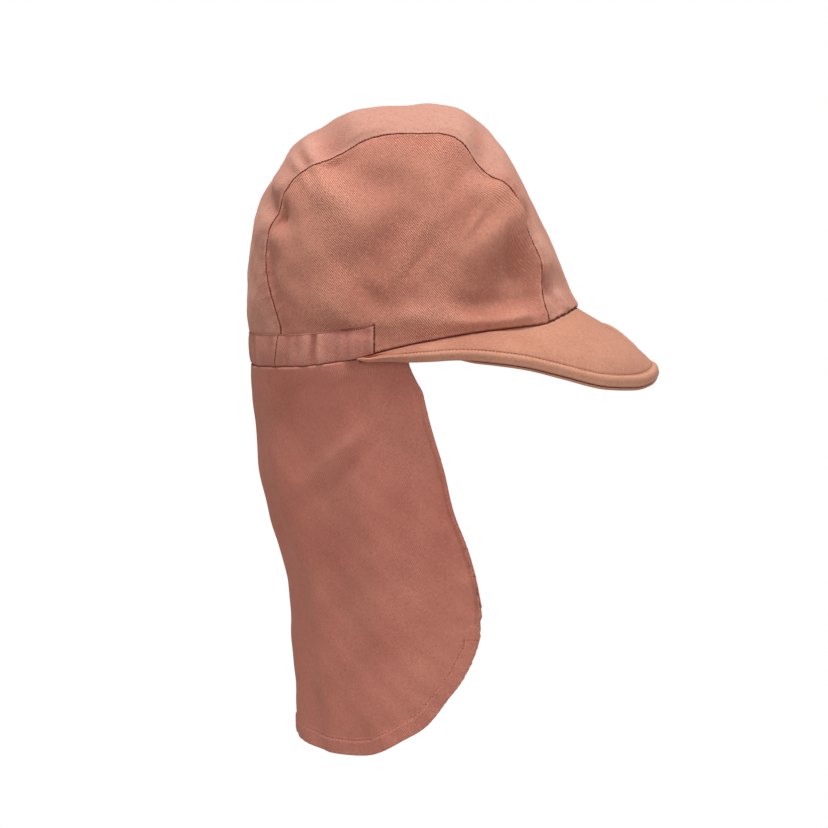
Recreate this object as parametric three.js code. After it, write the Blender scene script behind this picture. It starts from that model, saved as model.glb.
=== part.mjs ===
// A child's legionnaire cap in cotton twill. Its crown has two side panels and a centre panel, with an
// elastic casing round the back of the hem, a soft peak of two covers, and a neck flap that hangs behind.
// Millimetres. +X points to the peak, +Y to the wearer's left and +Z up, and the origin is the middle of
// the head opening, at the height of the hem's middle.

import * as THREE from 'three';

// Crown
const CROWN_LENGTH = 178;
const CROWN_WIDTH = 144;
const CROWN_HEIGHT = 124;
const CROWN_WALL = 1.6;
// The power of the crown's rounded sections: 2 is an ellipse, and more is boxier.
const FULLNESS = 2.2;
// How much higher the hem lies in front than behind.
const HEM_RISE = 31;
const SEAM_GAP = 0.3;
// The deepest pull of the curved seams, and how far from a seam it is felt.
const PUCKER_DEPTH = 4.5;
const PUCKER_SPREAD = 13;
const DENT_DEPTH = 3;
// The dents start beside the seam and are full this share of the seam's half width beyond it.
const DENT_FADE = 0.35;
// The left side's dents are plainer than the right's.
const LEFT_DENTS = 0.6;

// Elastic casing
const CASING_HEIGHT = 17;
const CASING_WALL = 2.8;
const CASING_PUFF = 0.9;
const GATHER_DEPTH = 0.5;
const GATHER_COUNT = 15;
// Where the casing ends on each side, in degrees round from the front.
const CASING_END = 106;

// Peak
const PEAK_REACH = 44.5;
const PEAK_DROP = 40;
const PEAK_BULGE = 4.2;
// How much fuller the bulge grows towards the edge.
const PEAK_ROLL = 1.2;
const PEAK_COVER = 1.4;
// The peak runs out to thin tails: where they end in degrees round, over how many, and how thin.
const PEAK_END = 112;
const PEAK_TAIL = 14;
const PEAK_TAIL_COVER = 0.6;
// How fast the bulge fades with the peak's width: 1 is in step with it.
const BULGE_FADE = 0.45;

// Neck flap
const FLAP_DROP = 205;
const FLAP_WALL = 1.3;
const FLAP_HEM_WALL = 2.2;
const FLAP_HEM = 10;
const FLAP_FOLD_DEPTH = 3;
// The folds reach their full depth by this share of the drop.
const FLAP_FOLD_START = 0.3;
// The flap starts this many degrees round from the front, this far inside the peak's tail.
const FLAP_START = 92;
const FLAP_TUCK = 5.5;
const FLAP_TUCK_END = 121;
// By this share of its drop the flap hangs free of the crown's shape.
const FLAP_RELEASE = 0.05;

const HALF_LENGTH = CROWN_LENGTH / 2;
const HALF_WIDTH = CROWN_WIDTH / 2;
const HALF_RISE = HEM_RISE / 2;
// The flap hangs just inside the crown's sides.
const FLAP_HALF_WIDTH = HALF_WIDTH - CROWN_WALL - FLAP_TUCK;

// Between these turns a line over the top meets the hem in front, and the casing behind.
const FRONT_TURNS = { low: -12, high: 60 };
const BACK_TURNS = { low: 120, high: 200 };

// How finely the faces are divided.
const SEAM_STEPS = 40;
const ACROSS_STEPS = 8;
const PANEL_RINGS = 6;
// The rings of a side panel grow from this share of the crown's height.
const PANEL_MIDDLE = 0.45;
const CASING_TOP_STEPS = 10;
const HEM_STEPS = 18;
const CASING_STEPS = 60;
const CASING_ROWS = 3;
const PEAK_STEPS = 36;
const PEAK_ROWS = 5;
const FLAP_STEPS = 36;
const FLAP_ROWS = 13;
// The flap's columns crowd towards its rounded front corners by this power.
const FLAP_CROWDING = 1.5;

const CLOTH = 0xbb7c68;
const CLOTH_ROUGHNESS = 0.92;

// The crown's outline from the side, anticlockwise from the front of the hem: along as a share of half the
// length, up as a share of the height.
const OUTLINE = [
  { along: 0.990, up: -0.10 }, { along: 0.995, up: 0.127 }, { along: 0.952, up: 0.183 },
  { along: 0.908, up: 0.265 }, { along: 0.837, up: 0.392 }, { along: 0.764, up: 0.502 },
  { along: 0.680, up: 0.635 }, { along: 0.579, up: 0.769 }, { along: 0.480, up: 0.872 },
  { along: 0.407, up: 0.918 }, { along: 0.293, up: 0.973 }, { along: 0.179, up: 0.995 },
  { along: -0.022, up: 1.0 }, { along: -0.252, up: 0.986 }, { along: -0.425, up: 0.952 },
  { along: -0.566, up: 0.899 }, { along: -0.710, up: 0.827 }, { along: -0.825, up: 0.706 },
  { along: -0.910, up: 0.601 }, { along: -0.958, up: 0.492 }, { along: -0.989, up: 0.368 },
  { along: -1.001, up: 0.240 }, { along: -1.004, up: 0.152 }, { along: -0.990, up: 0.040 },
  { along: -0.981, up: -0.044 }, { along: -0.976, up: -0.131 }, { along: -0.970, up: -0.25 },
];

// The hem's height at so many degrees round from the front, as a share of half its rise.
const HEM = [
  { round: 0, up: 1.01 }, { round: 12, up: 0.99 }, { round: 21, up: 0.87 }, { round: 27, up: 0.74 },
  { round: 34, up: 0.56 }, { round: 45, up: 0.47 }, { round: 64, up: 0.30 }, { round: 82, up: 0.05 },
  { round: 95, up: -0.17 }, { round: 105, up: -0.38 }, { round: 112, up: -0.56 }, { round: 120, up: -0.69 },
  { round: 136, up: -0.88 }, { round: 150, up: -0.95 }, { round: 180, up: -1.0 },
];

// The centre panel's half width as a share of half the crown's width. The turn is in degrees, from the
// front, over the top, to the back.
const SEAM = [
  { turn: -10, half: 0.64 }, { turn: 9, half: 0.64 }, { turn: 21, half: 0.59 }, { turn: 30, half: 0.535 },
  { turn: 46, half: 0.515 }, { turn: 60, half: 0.53 }, { turn: 90, half: 0.55 }, { turn: 120, half: 0.535 },
  { turn: 145, half: 0.505 }, { turn: 157, half: 0.54 }, { turn: 165, half: 0.595 },
  { turn: 174, half: 0.645 }, { turn: 182, half: 0.645 }, { turn: 191, half: 0.625 },
  { turn: 205, half: 0.62 },
];

// How the stitching pulls the seams in (negative) or lifts them, as a share of the pucker depth.
const PUCKERS = [
  { turn: 9, pull: -0.15 }, { turn: 21, pull: -0.05 }, { turn: 30, pull: 0.24 }, { turn: 37, pull: 0.18 },
  { turn: 46, pull: 0.35 }, { turn: 54, pull: 0.78 }, { turn: 60, pull: 0.31 }, { turn: 65, pull: -0.75 },
  { turn: 70.5, pull: -1.0 }, { turn: 75, pull: -0.18 }, { turn: 88, pull: 0.15 },
  { turn: 103, pull: -0.09 }, { turn: 109, pull: -0.49 }, { turn: 114, pull: -0.58 },
  { turn: 122, pull: 0.0 }, { turn: 128, pull: 0.62 }, { turn: 132, pull: 0.46 }, { turn: 136, pull: -0.33 },
  { turn: 142, pull: -0.07 }, { turn: 149, pull: 0.13 }, { turn: 165, pull: -0.18 },
  { turn: 174, pull: -0.26 }, { turn: 191, pull: 0 },
];

// Soft dents (negative) and bumps of the side panels. Along is a share of half the crown's length, up, long
// and wide are shares of its height, and deep is a share of the dent depth. Tilt is the long way's slope.
const DENTS = [
  { name: 'front hollow', along: 0.60, up: 0.34, long: 0.30, wide: 0.16, tilt: 62, deep: -1.0 },
  { name: 'fold beside the hollow', along: 0.27, up: 0.36, long: 0.26, wide: 0.07, tilt: 48, deep: 0.55 },
  { name: 'crease behind the fold', along: 0.10, up: 0.38, long: 0.24, wide: 0.06, tilt: 50, deep: -0.4 },
  { name: 'wedge above the hem', along: 0.52, up: 0.12, long: 0.22, wide: 0.06, tilt: 8, deep: 0.5 },
  { name: 'ridge to the back', along: -0.56, up: 0.28, long: 0.30, wide: 0.07, tilt: -32, deep: 0.45 },
  { name: 'bump under the seam', along: -0.50, up: 0.66, long: 0.18, wide: 0.12, tilt: 60, deep: 0.5 },
];

// The casing's height behind the ears and at the back, as a share of its full height.
const CASING_TOP = [
  { round: 104, tall: 0.88 }, { round: 116, tall: 0.96 }, { round: 136, tall: 1.0 },
  { round: 180, tall: 1.02 },
];

// The peak's edge at so many degrees round: out from the hem as a share of the reach in front, and down
// from the hem as a share of the greatest drop.
const PEAK_EDGE = [
  { round: 0, out: 1.0, down: 0.885 }, { round: 9, out: 0.95, down: 0.96 },
  { round: 17, out: 0.885, down: 0.975 }, { round: 26, out: 0.81, down: 0.895 },
  { round: 37, out: 0.725, down: 0.725 }, { round: 46, out: 0.635, down: 0.585 },
  { round: 53, out: 0.54, down: 0.475 }, { round: 63, out: 0.42, down: 0.37 },
  { round: 75, out: 0.29, down: 0.275 }, { round: 83, out: 0.22, down: 0.235 },
  { round: 92, out: 0.145, down: 0.18 }, { round: 100, out: 0.09, down: 0.115 },
  { round: 112, out: 0.045, down: 0.03 },
];

// The peak is bent: at so many degrees round, negative to the right, the edge lies higher by a share of the
// greatest drop, and this share of the bulge is left.
const PEAK_BEND = [
  { round: -30, up: 0, full: 1 }, { round: -14, up: 0, full: 0.9 }, { round: -5, up: 0, full: 0.68 },
  { round: 0, up: 0.015, full: 0.5 }, { round: 9, up: 0.17, full: 0.15 }, { round: 17, up: 0.44, full: 0 },
  { round: 26, up: 0.65, full: 0 }, { round: 37, up: 0.60, full: 0.1 }, { round: 46, up: 0.45, full: 0.3 },
  { round: 53, up: 0.33, full: 0.45 }, { round: 63, up: 0.17, full: 0.7 }, { round: 75, up: 0.05, full: 0.9 },
  { round: 86, up: 0, full: 1 },
];

// The flap's back and front edges from the side: down as a share of its drop, back and front as shares of
// half the crown's length.
const FLAP_SIDE = [
  { down: 0.00, back: -0.977, front: -0.035 }, { down: 0.15, back: -0.960, front: 0.085 },
  { down: 0.25, back: -0.936, front: 0.155 }, { down: 0.36, back: -0.885, front: 0.225 },
  { down: 0.47, back: -0.818, front: 0.315 }, { down: 0.58, back: -0.752, front: 0.375 },
  { down: 0.63, back: -0.738, front: 0.395 }, { down: 0.70, back: -0.730, front: 0.425 },
  { down: 1.00, back: -0.690, front: 0.430 },
];

// The flap's lower edge: share is 0 at the back and 1 at a front edge, down is a share of the drop.
const FLAP_EDGE = [
  { share: 0, down: 0.965 }, { share: 0.12, down: 0.978 }, { share: 0.26, down: 0.99 },
  { share: 0.43, down: 0.999 }, { share: 0.55, down: 1.0 }, { share: 0.65, down: 0.988 },
  { share: 0.74, down: 0.954 }, { share: 0.84, down: 0.90 }, { share: 0.89, down: 0.845 },
  { share: 0.936, down: 0.79 }, { share: 0.965, down: 0.735 }, { share: 0.985, down: 0.68 },
  { share: 1, down: 0.60 },
];

// Soft folds of the flap: the share round it where one runs, its lean, width and depth.
const FLAP_FOLDS = [
  { share: 0.10, lean: 0.22, wide: 0.10, deep: -0.8 }, { share: 0.32, lean: 0.10, wide: 0.09, deep: 0.6 },
  { share: 0.55, lean: -0.06, wide: 0.10, deep: -0.6 }, { share: 0.78, lean: -0.10, wide: 0.09, deep: 0.7 },
];

const radians = THREE.MathUtils.degToRad;
const degrees = THREE.MathUtils.radToDeg;
const lerp = THREE.MathUtils.lerp;
const smoothstep = THREE.MathUtils.smoothstep;

/** A list of evenly spaced numbers from one value to another, both ends included. */
function spread(from, to, steps) {
  return Array.from({ length: steps + 1 }, (_, step) => lerp(from, to, step / steps));
}

/** The slope of a curve at each row of a table, from the rows before and after. */
function slopes(at, value, isLevelAtFirst) {
  const last = at.length - 1;
  return at.map((here, row) => {
    if (row === 0) return isLevelAtFirst ? 0 : (value[1] - value[0]) / (at[1] - at[0]);
    if (row === last) return (value[last] - value[last - 1]) / (at[last] - at[last - 1]);
    const before = here - at[row - 1];
    const after = at[row + 1] - here;
    const slopeBefore = (value[row] - value[row - 1]) / before;
    const slopeAfter = (value[row + 1] - value[row]) / after;
    return (slopeBefore * after + slopeAfter * before) / (before + after);
  });
}

/** A smooth curve through a table: it reads the column `to` at any value of the column `from`. A curve that
 * starts in the middle plane is level there, so that its two sides meet without a corner. */
function curveThrough(rows, from, to, isLevelAtFirst = false) {
  const at = rows.map((row) => row[from]);
  const value = rows.map((row) => row[to]);
  const slope = slopes(at, value, isLevelAtFirst);
  return (where) => {
    const x = THREE.MathUtils.clamp(where, at[0], at[at.length - 1]);
    let row = 0;
    while (row < at.length - 2 && x > at[row + 1]) row += 1;
    const width = at[row + 1] - at[row];
    const t = (x - at[row]) / width;
    const rest = 1 - t;
    return value[row] * (1 + 2 * t) * rest * rest + value[row + 1] * t * t * (3 - 2 * t)
      + width * t * rest * (slope[row] * rest - slope[row + 1] * t);
  };
}

/** The value between two others at which a test changes from true to false. */
function findChange(low, high, isBelow) {
  for (let step = 0; step < 40; step += 1) {
    const middle = (low + high) / 2;
    if (isBelow(middle)) low = middle;
    else high = middle;
  }
  return (low + high) / 2;
}

/** The turn of a point of the side view, in degrees from the front over the top. */
function turnOf(x, z) {
  const turn = degrees(Math.atan2(z, x));
  return turn < -60 ? turn + 360 : turn;
}

const outlineByTurn = OUTLINE.map(({ along, up }) => {
  const x = along * HALF_LENGTH;
  const z = up * CROWN_HEIGHT;
  return { turn: turnOf(x, z), reach: Math.hypot(x, z) };
});
const outlineReach = curveThrough(outlineByTurn, 'turn', 'reach');
const hemShare = curveThrough(HEM, 'round', 'up', true);
const seamShare = curveThrough(SEAM, 'turn', 'half');
const puckerShare = curveThrough(PUCKERS, 'turn', 'pull');
const casingShare = curveThrough(CASING_TOP, 'round', 'tall');
const peakOut = curveThrough(PEAK_EDGE, 'round', 'out', true);
const peakDown = curveThrough(PEAK_EDGE, 'round', 'down', true);
const bendUp = curveThrough(PEAK_BEND, 'round', 'up');
const bendFull = curveThrough(PEAK_BEND, 'round', 'full');
const flapBack = curveThrough(FLAP_SIDE, 'down', 'back');
const flapFront = curveThrough(FLAP_SIDE, 'down', 'front');
const flapEdge = curveThrough(FLAP_EDGE, 'share', 'down', true);

const hemHeight = (round) => HALF_RISE * hemShare(Math.abs(round));
const casingTop = (round) => hemHeight(round) + CASING_HEIGHT * casingShare(Math.abs(round));
const seamHalf = (turn) => HALF_WIDTH * seamShare(turn);

/** How far a point lies from the crown's axis: 1 on its smooth surface, less inside, more outside. */
function crownLevel(point) {
  const inSideView = Math.hypot(point.x, point.z) / outlineReach(turnOf(point.x, point.z));
  return inSideView ** FULLNESS + (Math.abs(point.y) / HALF_WIDTH) ** FULLNESS;
}

/** The outward direction of the smooth crown at a point. */
function crownNormal(point) {
  const step = 0.5;
  const slopeAlong = (axis) => {
    const ahead = point.clone();
    const behind = point.clone();
    ahead[axis] += step;
    behind[axis] -= step;
    return crownLevel(ahead) - crownLevel(behind);
  };
  return new THREE.Vector3(slopeAlong('x'), slopeAlong('y'), slopeAlong('z')).normalize();
}

/** A point of the smooth crown at a turn over the top and a distance from the middle plane. */
function overTop(turn, y) {
  const reach = outlineReach(turn) * (1 - (Math.abs(y) / HALF_WIDTH) ** FULLNESS) ** (1 / FULLNESS);
  return new THREE.Vector3(reach * Math.cos(radians(turn)), y, reach * Math.sin(radians(turn)));
}

/** A point of the smooth crown at so many degrees round, negative to the right, and a height. */
function roundSide(round, z) {
  const at = (radius) => new THREE.Vector3(
    radius * Math.cos(radians(round)), radius * Math.sin(radians(round)), z);
  return at(findChange(0, CROWN_LENGTH, (radius) => crownLevel(at(radius)) < 1));
}

/** A point of the smooth crown above a place of the side view, on the side 1 (left) or -1 (right). */
function overSide(x, z, side) {
  const inSideView = Math.hypot(x, z) / outlineReach(turnOf(x, z));
  const y = HALF_WIDTH * Math.max(0, 1 - inSideView ** FULLNESS) ** (1 / FULLNESS);
  return new THREE.Vector3(x, side * y, z);
}

/** The height of the side panels' dents and bumps at a point. */
function dentHeight(point) {
  const sideShare = point.y < 0 ? 1 : LEFT_DENTS;
  let height = 0;
  for (const dent of DENTS) {
    const x = point.x - dent.along * HALF_LENGTH;
    const z = point.z - dent.up * CROWN_HEIGHT;
    const tilt = radians(dent.tilt);
    const lengthwise = (x * Math.cos(tilt) + z * Math.sin(tilt)) / (dent.long * CROWN_HEIGHT);
    const sideways = (z * Math.cos(tilt) - x * Math.sin(tilt)) / (dent.wide * CROWN_HEIGHT);
    height += dent.deep * Math.exp(-(lengthwise ** 2) - sideways ** 2);
  }
  const beyondSeam = Math.abs(point.y) / seamHalf(turnOf(point.x, point.z)) - 1;
  return DENT_DEPTH * sideShare * height * smoothstep(beyondSeam, 0, DENT_FADE);
}

/** The worn cloth's outer face: the smooth crown with its seams pulled in and its sides dented. */
function clothPoint(point) {
  const turn = turnOf(point.x, point.z);
  const fromSeam = (Math.abs(point.y) - seamHalf(turn)) / PUCKER_SPREAD;
  const pull = PUCKER_DEPTH * puckerShare(turn) * Math.exp(-(fromSeam ** 2));
  const outward = new THREE.Vector3(point.x, 0, point.z).normalize();
  const dent = crownNormal(point).multiplyScalar(dentHeight(point));
  return point.clone().addScaledVector(outward, pull).add(dent);
}

/** The way round to a point, in degrees from the front and negative to the right. */
function roundOf(point) {
  return degrees(Math.atan2(point.y, point.x));
}

/** A line over the top at a share of the way to a seam: its even steps from the hem to the casing. */
function lineOverTop(share, seamShift) {
  const pointAt = (turn) => overTop(turn, share * (seamHalf(turn) + seamShift));
  const isBelowHem = (turn) => pointAt(turn).z < hemHeight(roundOf(pointAt(turn)));
  const isAboveCasing = (turn) => pointAt(turn).z > casingTop(roundOf(pointAt(turn))) + SEAM_GAP / 2;
  const first = findChange(FRONT_TURNS.low, FRONT_TURNS.high, isBelowHem);
  const last = findChange(BACK_TURNS.low, BACK_TURNS.high, isAboveCasing);
  return spread(first, last, SEAM_STEPS).map(pointAt);
}

/** Closes a sheet of cloth to a solid: an outer face, an inner face and a rim round every free edge. */
function solidFromSheet(outer, inner, triangles) {
  const count = outer.length;
  const index = [];
  const freeEdges = new Map();
  for (const [a, b, c] of triangles) {
    index.push(a, b, c, c + count, b + count, a + count);
    for (const [from, to] of [[a, b], [b, c], [c, a]]) {
      if (freeEdges.has(`${to} ${from}`)) freeEdges.delete(`${to} ${from}`);
      else freeEdges.set(`${from} ${to}`, [from, to]);
    }
  }
  for (const [from, to] of freeEdges.values()) {
    index.push(to, from, from + count, to, from + count, to + count);
  }
  const geometry = new THREE.BufferGeometry().setFromPoints([...outer, ...inner]);
  geometry.setIndex(index);
  geometry.computeVertexNormals();
  return geometry;
}

/** The triangles of a sheet that is a grid of rows of points. Flipped turns its outer face over. */
function gridTriangles(rowCount, columnCount, flipped = false) {
  const triangles = [];
  for (let row = 0; row < rowCount - 1; row += 1) {
    for (let column = 0; column < columnCount - 1; column += 1) {
      const corner = row * columnCount + column;
      const across = corner + 1;
      const along = corner + columnCount;
      triangles.push([corner, across, along + 1], [corner, along + 1, along]);
    }
  }
  return flipped ? triangles.map(([a, b, c]) => [a, c, b]) : triangles;
}

/** The triangles of a sheet that is a middle point inside growing rings. */
function ringTriangles(ringCount, ringLength, flipped = false) {
  const triangles = [];
  for (let ring = 0; ring < ringCount; ring += 1) {
    for (let step = 0; step < ringLength; step += 1) {
      const next = (step + 1) % ringLength;
      const outward = 1 + ring * ringLength;
      if (ring === 0) {
        triangles.push([0, outward + step, outward + next]);
      } else {
        const inward = outward - ringLength;
        triangles.push([inward + step, outward + step, outward + next]);
        triangles.push([inward + step, outward + next, inward + next]);
      }
    }
  }
  return flipped ? triangles.map(([a, b, c]) => [a, c, b]) : triangles;
}

/** A mesh of the cap's twill. */
function clothMesh(name, geometry) {
  const material = new THREE.MeshStandardMaterial({
    color: CLOTH, roughness: CLOTH_ROUGHNESS, metalness: 0, side: THREE.DoubleSide });
  const mesh = new THREE.Mesh(geometry, material);
  mesh.name = name;
  return mesh;
}

/** A wall of the crown from points of its smooth outer face. */
function crownWall(smoothPoints, triangles) {
  const outer = smoothPoints.map(clothPoint);
  const inner = outer.map((point, place) => (
    point.clone().addScaledVector(crownNormal(smoothPoints[place]), -CROWN_WALL)));
  return solidFromSheet(outer, inner, triangles);
}

/** A side panel: rings that grow from its middle to the seam, the casing and the hem. */
function sidePanel(name, side) {
  const shift = SEAM_GAP / 2;
  const overSeam = lineOverTop(1, shift);
  const casingFront = CASING_END - degrees(SEAM_GAP / HALF_WIDTH);
  const overCasing = spread(roundOf(overSeam[SEAM_STEPS]), casingFront, CASING_TOP_STEPS)
    .slice(1).map((round) => roundSide(round, casingTop(round) + shift));
  const alongHem = spread(casingFront, roundOf(overSeam[0]), HEM_STEPS)
    .slice(0, -1).map((round) => roundSide(round, hemHeight(round)));
  const border = [...overSeam, ...overCasing, ...alongHem];
  const middle = { x: 0, z: PANEL_MIDDLE * CROWN_HEIGHT };
  const points = [overSide(middle.x, middle.z, side)];
  for (const share of spread(0, 1, PANEL_RINGS).slice(1, -1)) {
    for (const end of border) {
      points.push(overSide(lerp(middle.x, end.x, share), lerp(middle.z, end.z, share), side));
    }
  }
  for (const end of border) points.push(new THREE.Vector3(end.x, side * end.y, end.z));
  return clothMesh(name, crownWall(points, ringTriangles(PANEL_RINGS, border.length, side > 0)));
}

/** The centre panel: lines over the top from the peak to the casing, between the two seams. */
function centrePanel() {
  const lines = spread(-1, 1, ACROSS_STEPS).map((share) => lineOverTop(share, -SEAM_GAP / 2));
  const triangles = gridTriangles(ACROSS_STEPS + 1, SEAM_STEPS + 1, true);
  return clothMesh('centre_panel', crownWall(lines.flat(), triangles));
}

/** The casing: a gathered band round the back that stands out between its stitching and the hem. */
function backCasing() {
  const firstRound = CASING_END;
  const lastRound = 360 - CASING_END;
  const gathers = (round) => (
    Math.sin(2 * Math.PI * GATHER_COUNT * (round - firstRound) / (lastRound - firstRound)));
  const smoothPoints = [];
  const outer = [];
  for (const share of spread(0, 1, CASING_ROWS)) {
    for (const round of spread(firstRound, lastRound, CASING_STEPS)) {
      const fromFront = 180 - Math.abs(round - 180);
      const z = lerp(hemHeight(fromFront), casingTop(fromFront) - SEAM_GAP / 2, share);
      const point = roundSide(round, z);
      const bulge = Math.sin(Math.PI * share) * (CASING_PUFF + GATHER_DEPTH * gathers(round));
      smoothPoints.push(point);
      outer.push(clothPoint(point).addScaledVector(crownNormal(point), bulge));
    }
  }
  const inner = smoothPoints.map((point) => (
    clothPoint(point).addScaledVector(crownNormal(point), -CASING_WALL)));
  const triangles = gridTriangles(CASING_ROWS + 1, CASING_STEPS + 1);
  return clothMesh('back_casing', solidFromSheet(outer, inner, triangles));
}

/** A point of the peak's upper face: so many degrees round, share 0 at the hem and 1 at the edge. */
function peakPoint(round, share) {
  const fromFront = Math.abs(round);
  const hem = clothPoint(roundSide(round, hemHeight(round)));
  hem.addScaledVector(crownNormal(hem), -CROWN_WALL / 2);
  hem.z -= SEAM_GAP;
  const outward = new THREE.Vector3(Math.cos(radians(round)), Math.sin(radians(round)), 0);
  const edge = hem.clone().addScaledVector(outward, CROWN_WALL / 2 + PEAK_REACH * peakOut(fromFront));
  edge.z -= PEAK_DROP * (peakDown(fromFront) - bendUp(round));
  const fullness = PEAK_BULGE * peakOut(fromFront) ** BULGE_FADE * bendFull(round);
  const bulge = fullness * Math.sin(Math.PI * share) * (1 + PEAK_ROLL * share ** 2);
  const lift = new THREE.Vector3(0, 0, 1).addScaledVector(outward, 1).normalize();
  return hem.lerp(edge, share).addScaledVector(lift, bulge);
}

/** The upward direction of the peak at a place. */
function peakNormal(round, share) {
  const stepRound = 0.5;
  const stepShare = 0.02;
  const alongRound = peakPoint(round + stepRound, share).sub(peakPoint(round - stepRound, share));
  const alongShare = peakPoint(round, share + stepShare).sub(peakPoint(round, share - stepShare));
  return alongShare.cross(alongRound).normalize();
}

/** One cover of the peak: a slab that lies so many layers below the upper face and thins to its tails. */
function peakCover(name, layer) {
  const outer = [];
  const inner = [];
  for (const share of spread(0, 1, PEAK_ROWS)) {
    for (const round of spread(-PEAK_END, PEAK_END, PEAK_STEPS)) {
      const point = peakPoint(round, share);
      const up = peakNormal(round, share);
      const beforeEnd = smoothstep(PEAK_END - Math.abs(round), 0, PEAK_TAIL);
      const cover = lerp(PEAK_TAIL_COVER, PEAK_COVER, beforeEnd);
      const depth = layer * (cover + SEAM_GAP);
      outer.push(point.clone().addScaledVector(up, -depth));
      inner.push(point.clone().addScaledVector(up, -depth - cover));
    }
  }
  const triangles = gridTriangles(PEAK_ROWS + 1, PEAK_STEPS + 1, true);
  return clothMesh(name, solidFromSheet(outer, inner, triangles));
}

/** A point of the flap's outer face: share -1 to 1 from the right front edge to the left, at a height. */
function flapPoint(share, z) {
  const side = share < 0 ? -1 : 1;
  const fromBack = Math.abs(share);
  const down = (-HALF_RISE - z) / FLAP_DROP;
  const corner = radians(90 * fromBack);
  const back = HALF_LENGTH * flapBack(down);
  const front = HALF_LENGTH * flapFront(down);
  const x = lerp(front, back, Math.cos(corner) ** (2 / FULLNESS));
  const y = side * FLAP_HALF_WIDTH * Math.sin(corner) ** (2 / FULLNESS);
  const hanging = new THREE.Vector3(x, y, z);
  const round = side * (180 - fromBack * (180 - FLAP_START));
  const crown = roundSide(round, Math.max(z, -HALF_RISE));
  const tuck = FLAP_TUCK * (1 - smoothstep(Math.abs(round), PEAK_END, FLAP_TUCK_END));
  crown.addScaledVector(crownNormal(crown), -(CROWN_WALL - FLAP_WALL) - tuck);
  crown.z = z;
  const point = crown.lerp(hanging, smoothstep(down, 0, FLAP_RELEASE));
  let fold = 0;
  for (const row of FLAP_FOLDS) {
    const centre = row.share + row.lean * down;
    fold += row.deep * Math.exp(-(((fromBack - centre) / row.wide) ** 2));
  }
  const outward = new THREE.Vector3(Math.cos(radians(round)), Math.sin(radians(round)), 0);
  return point.addScaledVector(outward, FLAP_FOLD_DEPTH * fold * smoothstep(down, 0, FLAP_FOLD_START));
}

/** The outward direction of the flap at a place. */
function flapNormal(share, z) {
  const stepShare = 0.01;
  const stepDown = 1;
  const ahead = Math.min(share + stepShare, 1);
  const behind = Math.max(share - stepShare, -1);
  const alongShare = flapPoint(ahead, z).sub(flapPoint(behind, z));
  const downwards = flapPoint(share, z - stepDown).sub(flapPoint(share, z + stepDown));
  return alongShare.cross(downwards).normalize();
}

/** The neck flap: rows down from the hem to the rounded edge, with a thicker border on its free edges. */
function neckFlap() {
  const borderShare = FLAP_HEM / (FLAP_HALF_WIDTH + HALF_LENGTH);
  const shares = spread(-1, 1, FLAP_STEPS).map((even) => (
    Math.sign(even) * (1 - (1 - Math.abs(even)) ** FLAP_CROWDING)));
  const outer = [];
  const inner = [];
  for (const share of shares) {
    const round = 180 - Math.abs(share) * (180 - FLAP_START);
    const top = hemHeight(round) - SEAM_GAP;
    const bottom = -HALF_RISE - FLAP_DROP * flapEdge(Math.abs(share));
    const heights = [...spread(top, bottom + FLAP_HEM, FLAP_ROWS), bottom];
    heights.forEach((z, row) => {
      const isInBorder = Math.abs(share) > 1 - borderShare || row >= FLAP_ROWS;
      const wall = isInBorder ? FLAP_HEM_WALL : FLAP_WALL;
      const point = flapPoint(share, z);
      outer.push(point);
      inner.push(point.clone().addScaledVector(flapNormal(share, z), -wall));
    });
  }
  const triangles = gridTriangles(shares.length, FLAP_ROWS + 2, true);
  return clothMesh('neck_flap', solidFromSheet(outer, inner, triangles));
}

const cap = new THREE.Group();
cap.add(
  sidePanel('side_panel_right', -1),
  sidePanel('side_panel_left', 1),
  centrePanel(),
  backCasing(),
  peakCover('peak_top', 0),
  peakCover('peak_under', 1),
  neckFlap(),
);

export default cap;
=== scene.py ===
# %% [markdown]
# # A child's legionnaire cap in cotton twill
# One soft cap, seen from its right side as if worn: a domed crown of three panels, an elastic casing round
# the back, a short padded peak and a long neck flap. The solids of the source give the shapes and sizes in
# millimetres. This lesson dresses each solid in real cloth: thin sheets with seams, folds, topstitching
# and a twill weave. First come the frame, the units and the camera.

# %% The frame and the camera
import math

import bpy
import numpy as np
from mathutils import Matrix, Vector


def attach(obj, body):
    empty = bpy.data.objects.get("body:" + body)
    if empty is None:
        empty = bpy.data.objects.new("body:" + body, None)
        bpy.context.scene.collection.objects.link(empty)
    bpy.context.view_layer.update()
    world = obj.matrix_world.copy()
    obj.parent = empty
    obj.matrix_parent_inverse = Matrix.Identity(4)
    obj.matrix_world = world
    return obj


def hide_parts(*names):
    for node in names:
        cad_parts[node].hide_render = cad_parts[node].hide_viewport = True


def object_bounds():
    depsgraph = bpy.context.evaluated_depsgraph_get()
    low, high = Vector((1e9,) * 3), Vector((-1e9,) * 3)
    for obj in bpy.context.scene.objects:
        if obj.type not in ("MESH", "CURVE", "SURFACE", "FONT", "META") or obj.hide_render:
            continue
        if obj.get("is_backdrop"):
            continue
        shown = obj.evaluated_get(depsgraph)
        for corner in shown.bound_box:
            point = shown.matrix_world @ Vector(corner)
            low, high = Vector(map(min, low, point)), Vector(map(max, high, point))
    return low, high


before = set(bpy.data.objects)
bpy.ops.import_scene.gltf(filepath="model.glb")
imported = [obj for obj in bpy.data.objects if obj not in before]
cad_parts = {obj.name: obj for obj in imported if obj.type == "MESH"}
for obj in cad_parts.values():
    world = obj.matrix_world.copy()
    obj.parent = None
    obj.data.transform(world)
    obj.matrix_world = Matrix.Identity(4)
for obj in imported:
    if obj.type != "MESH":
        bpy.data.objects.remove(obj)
solid_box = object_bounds()

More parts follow.
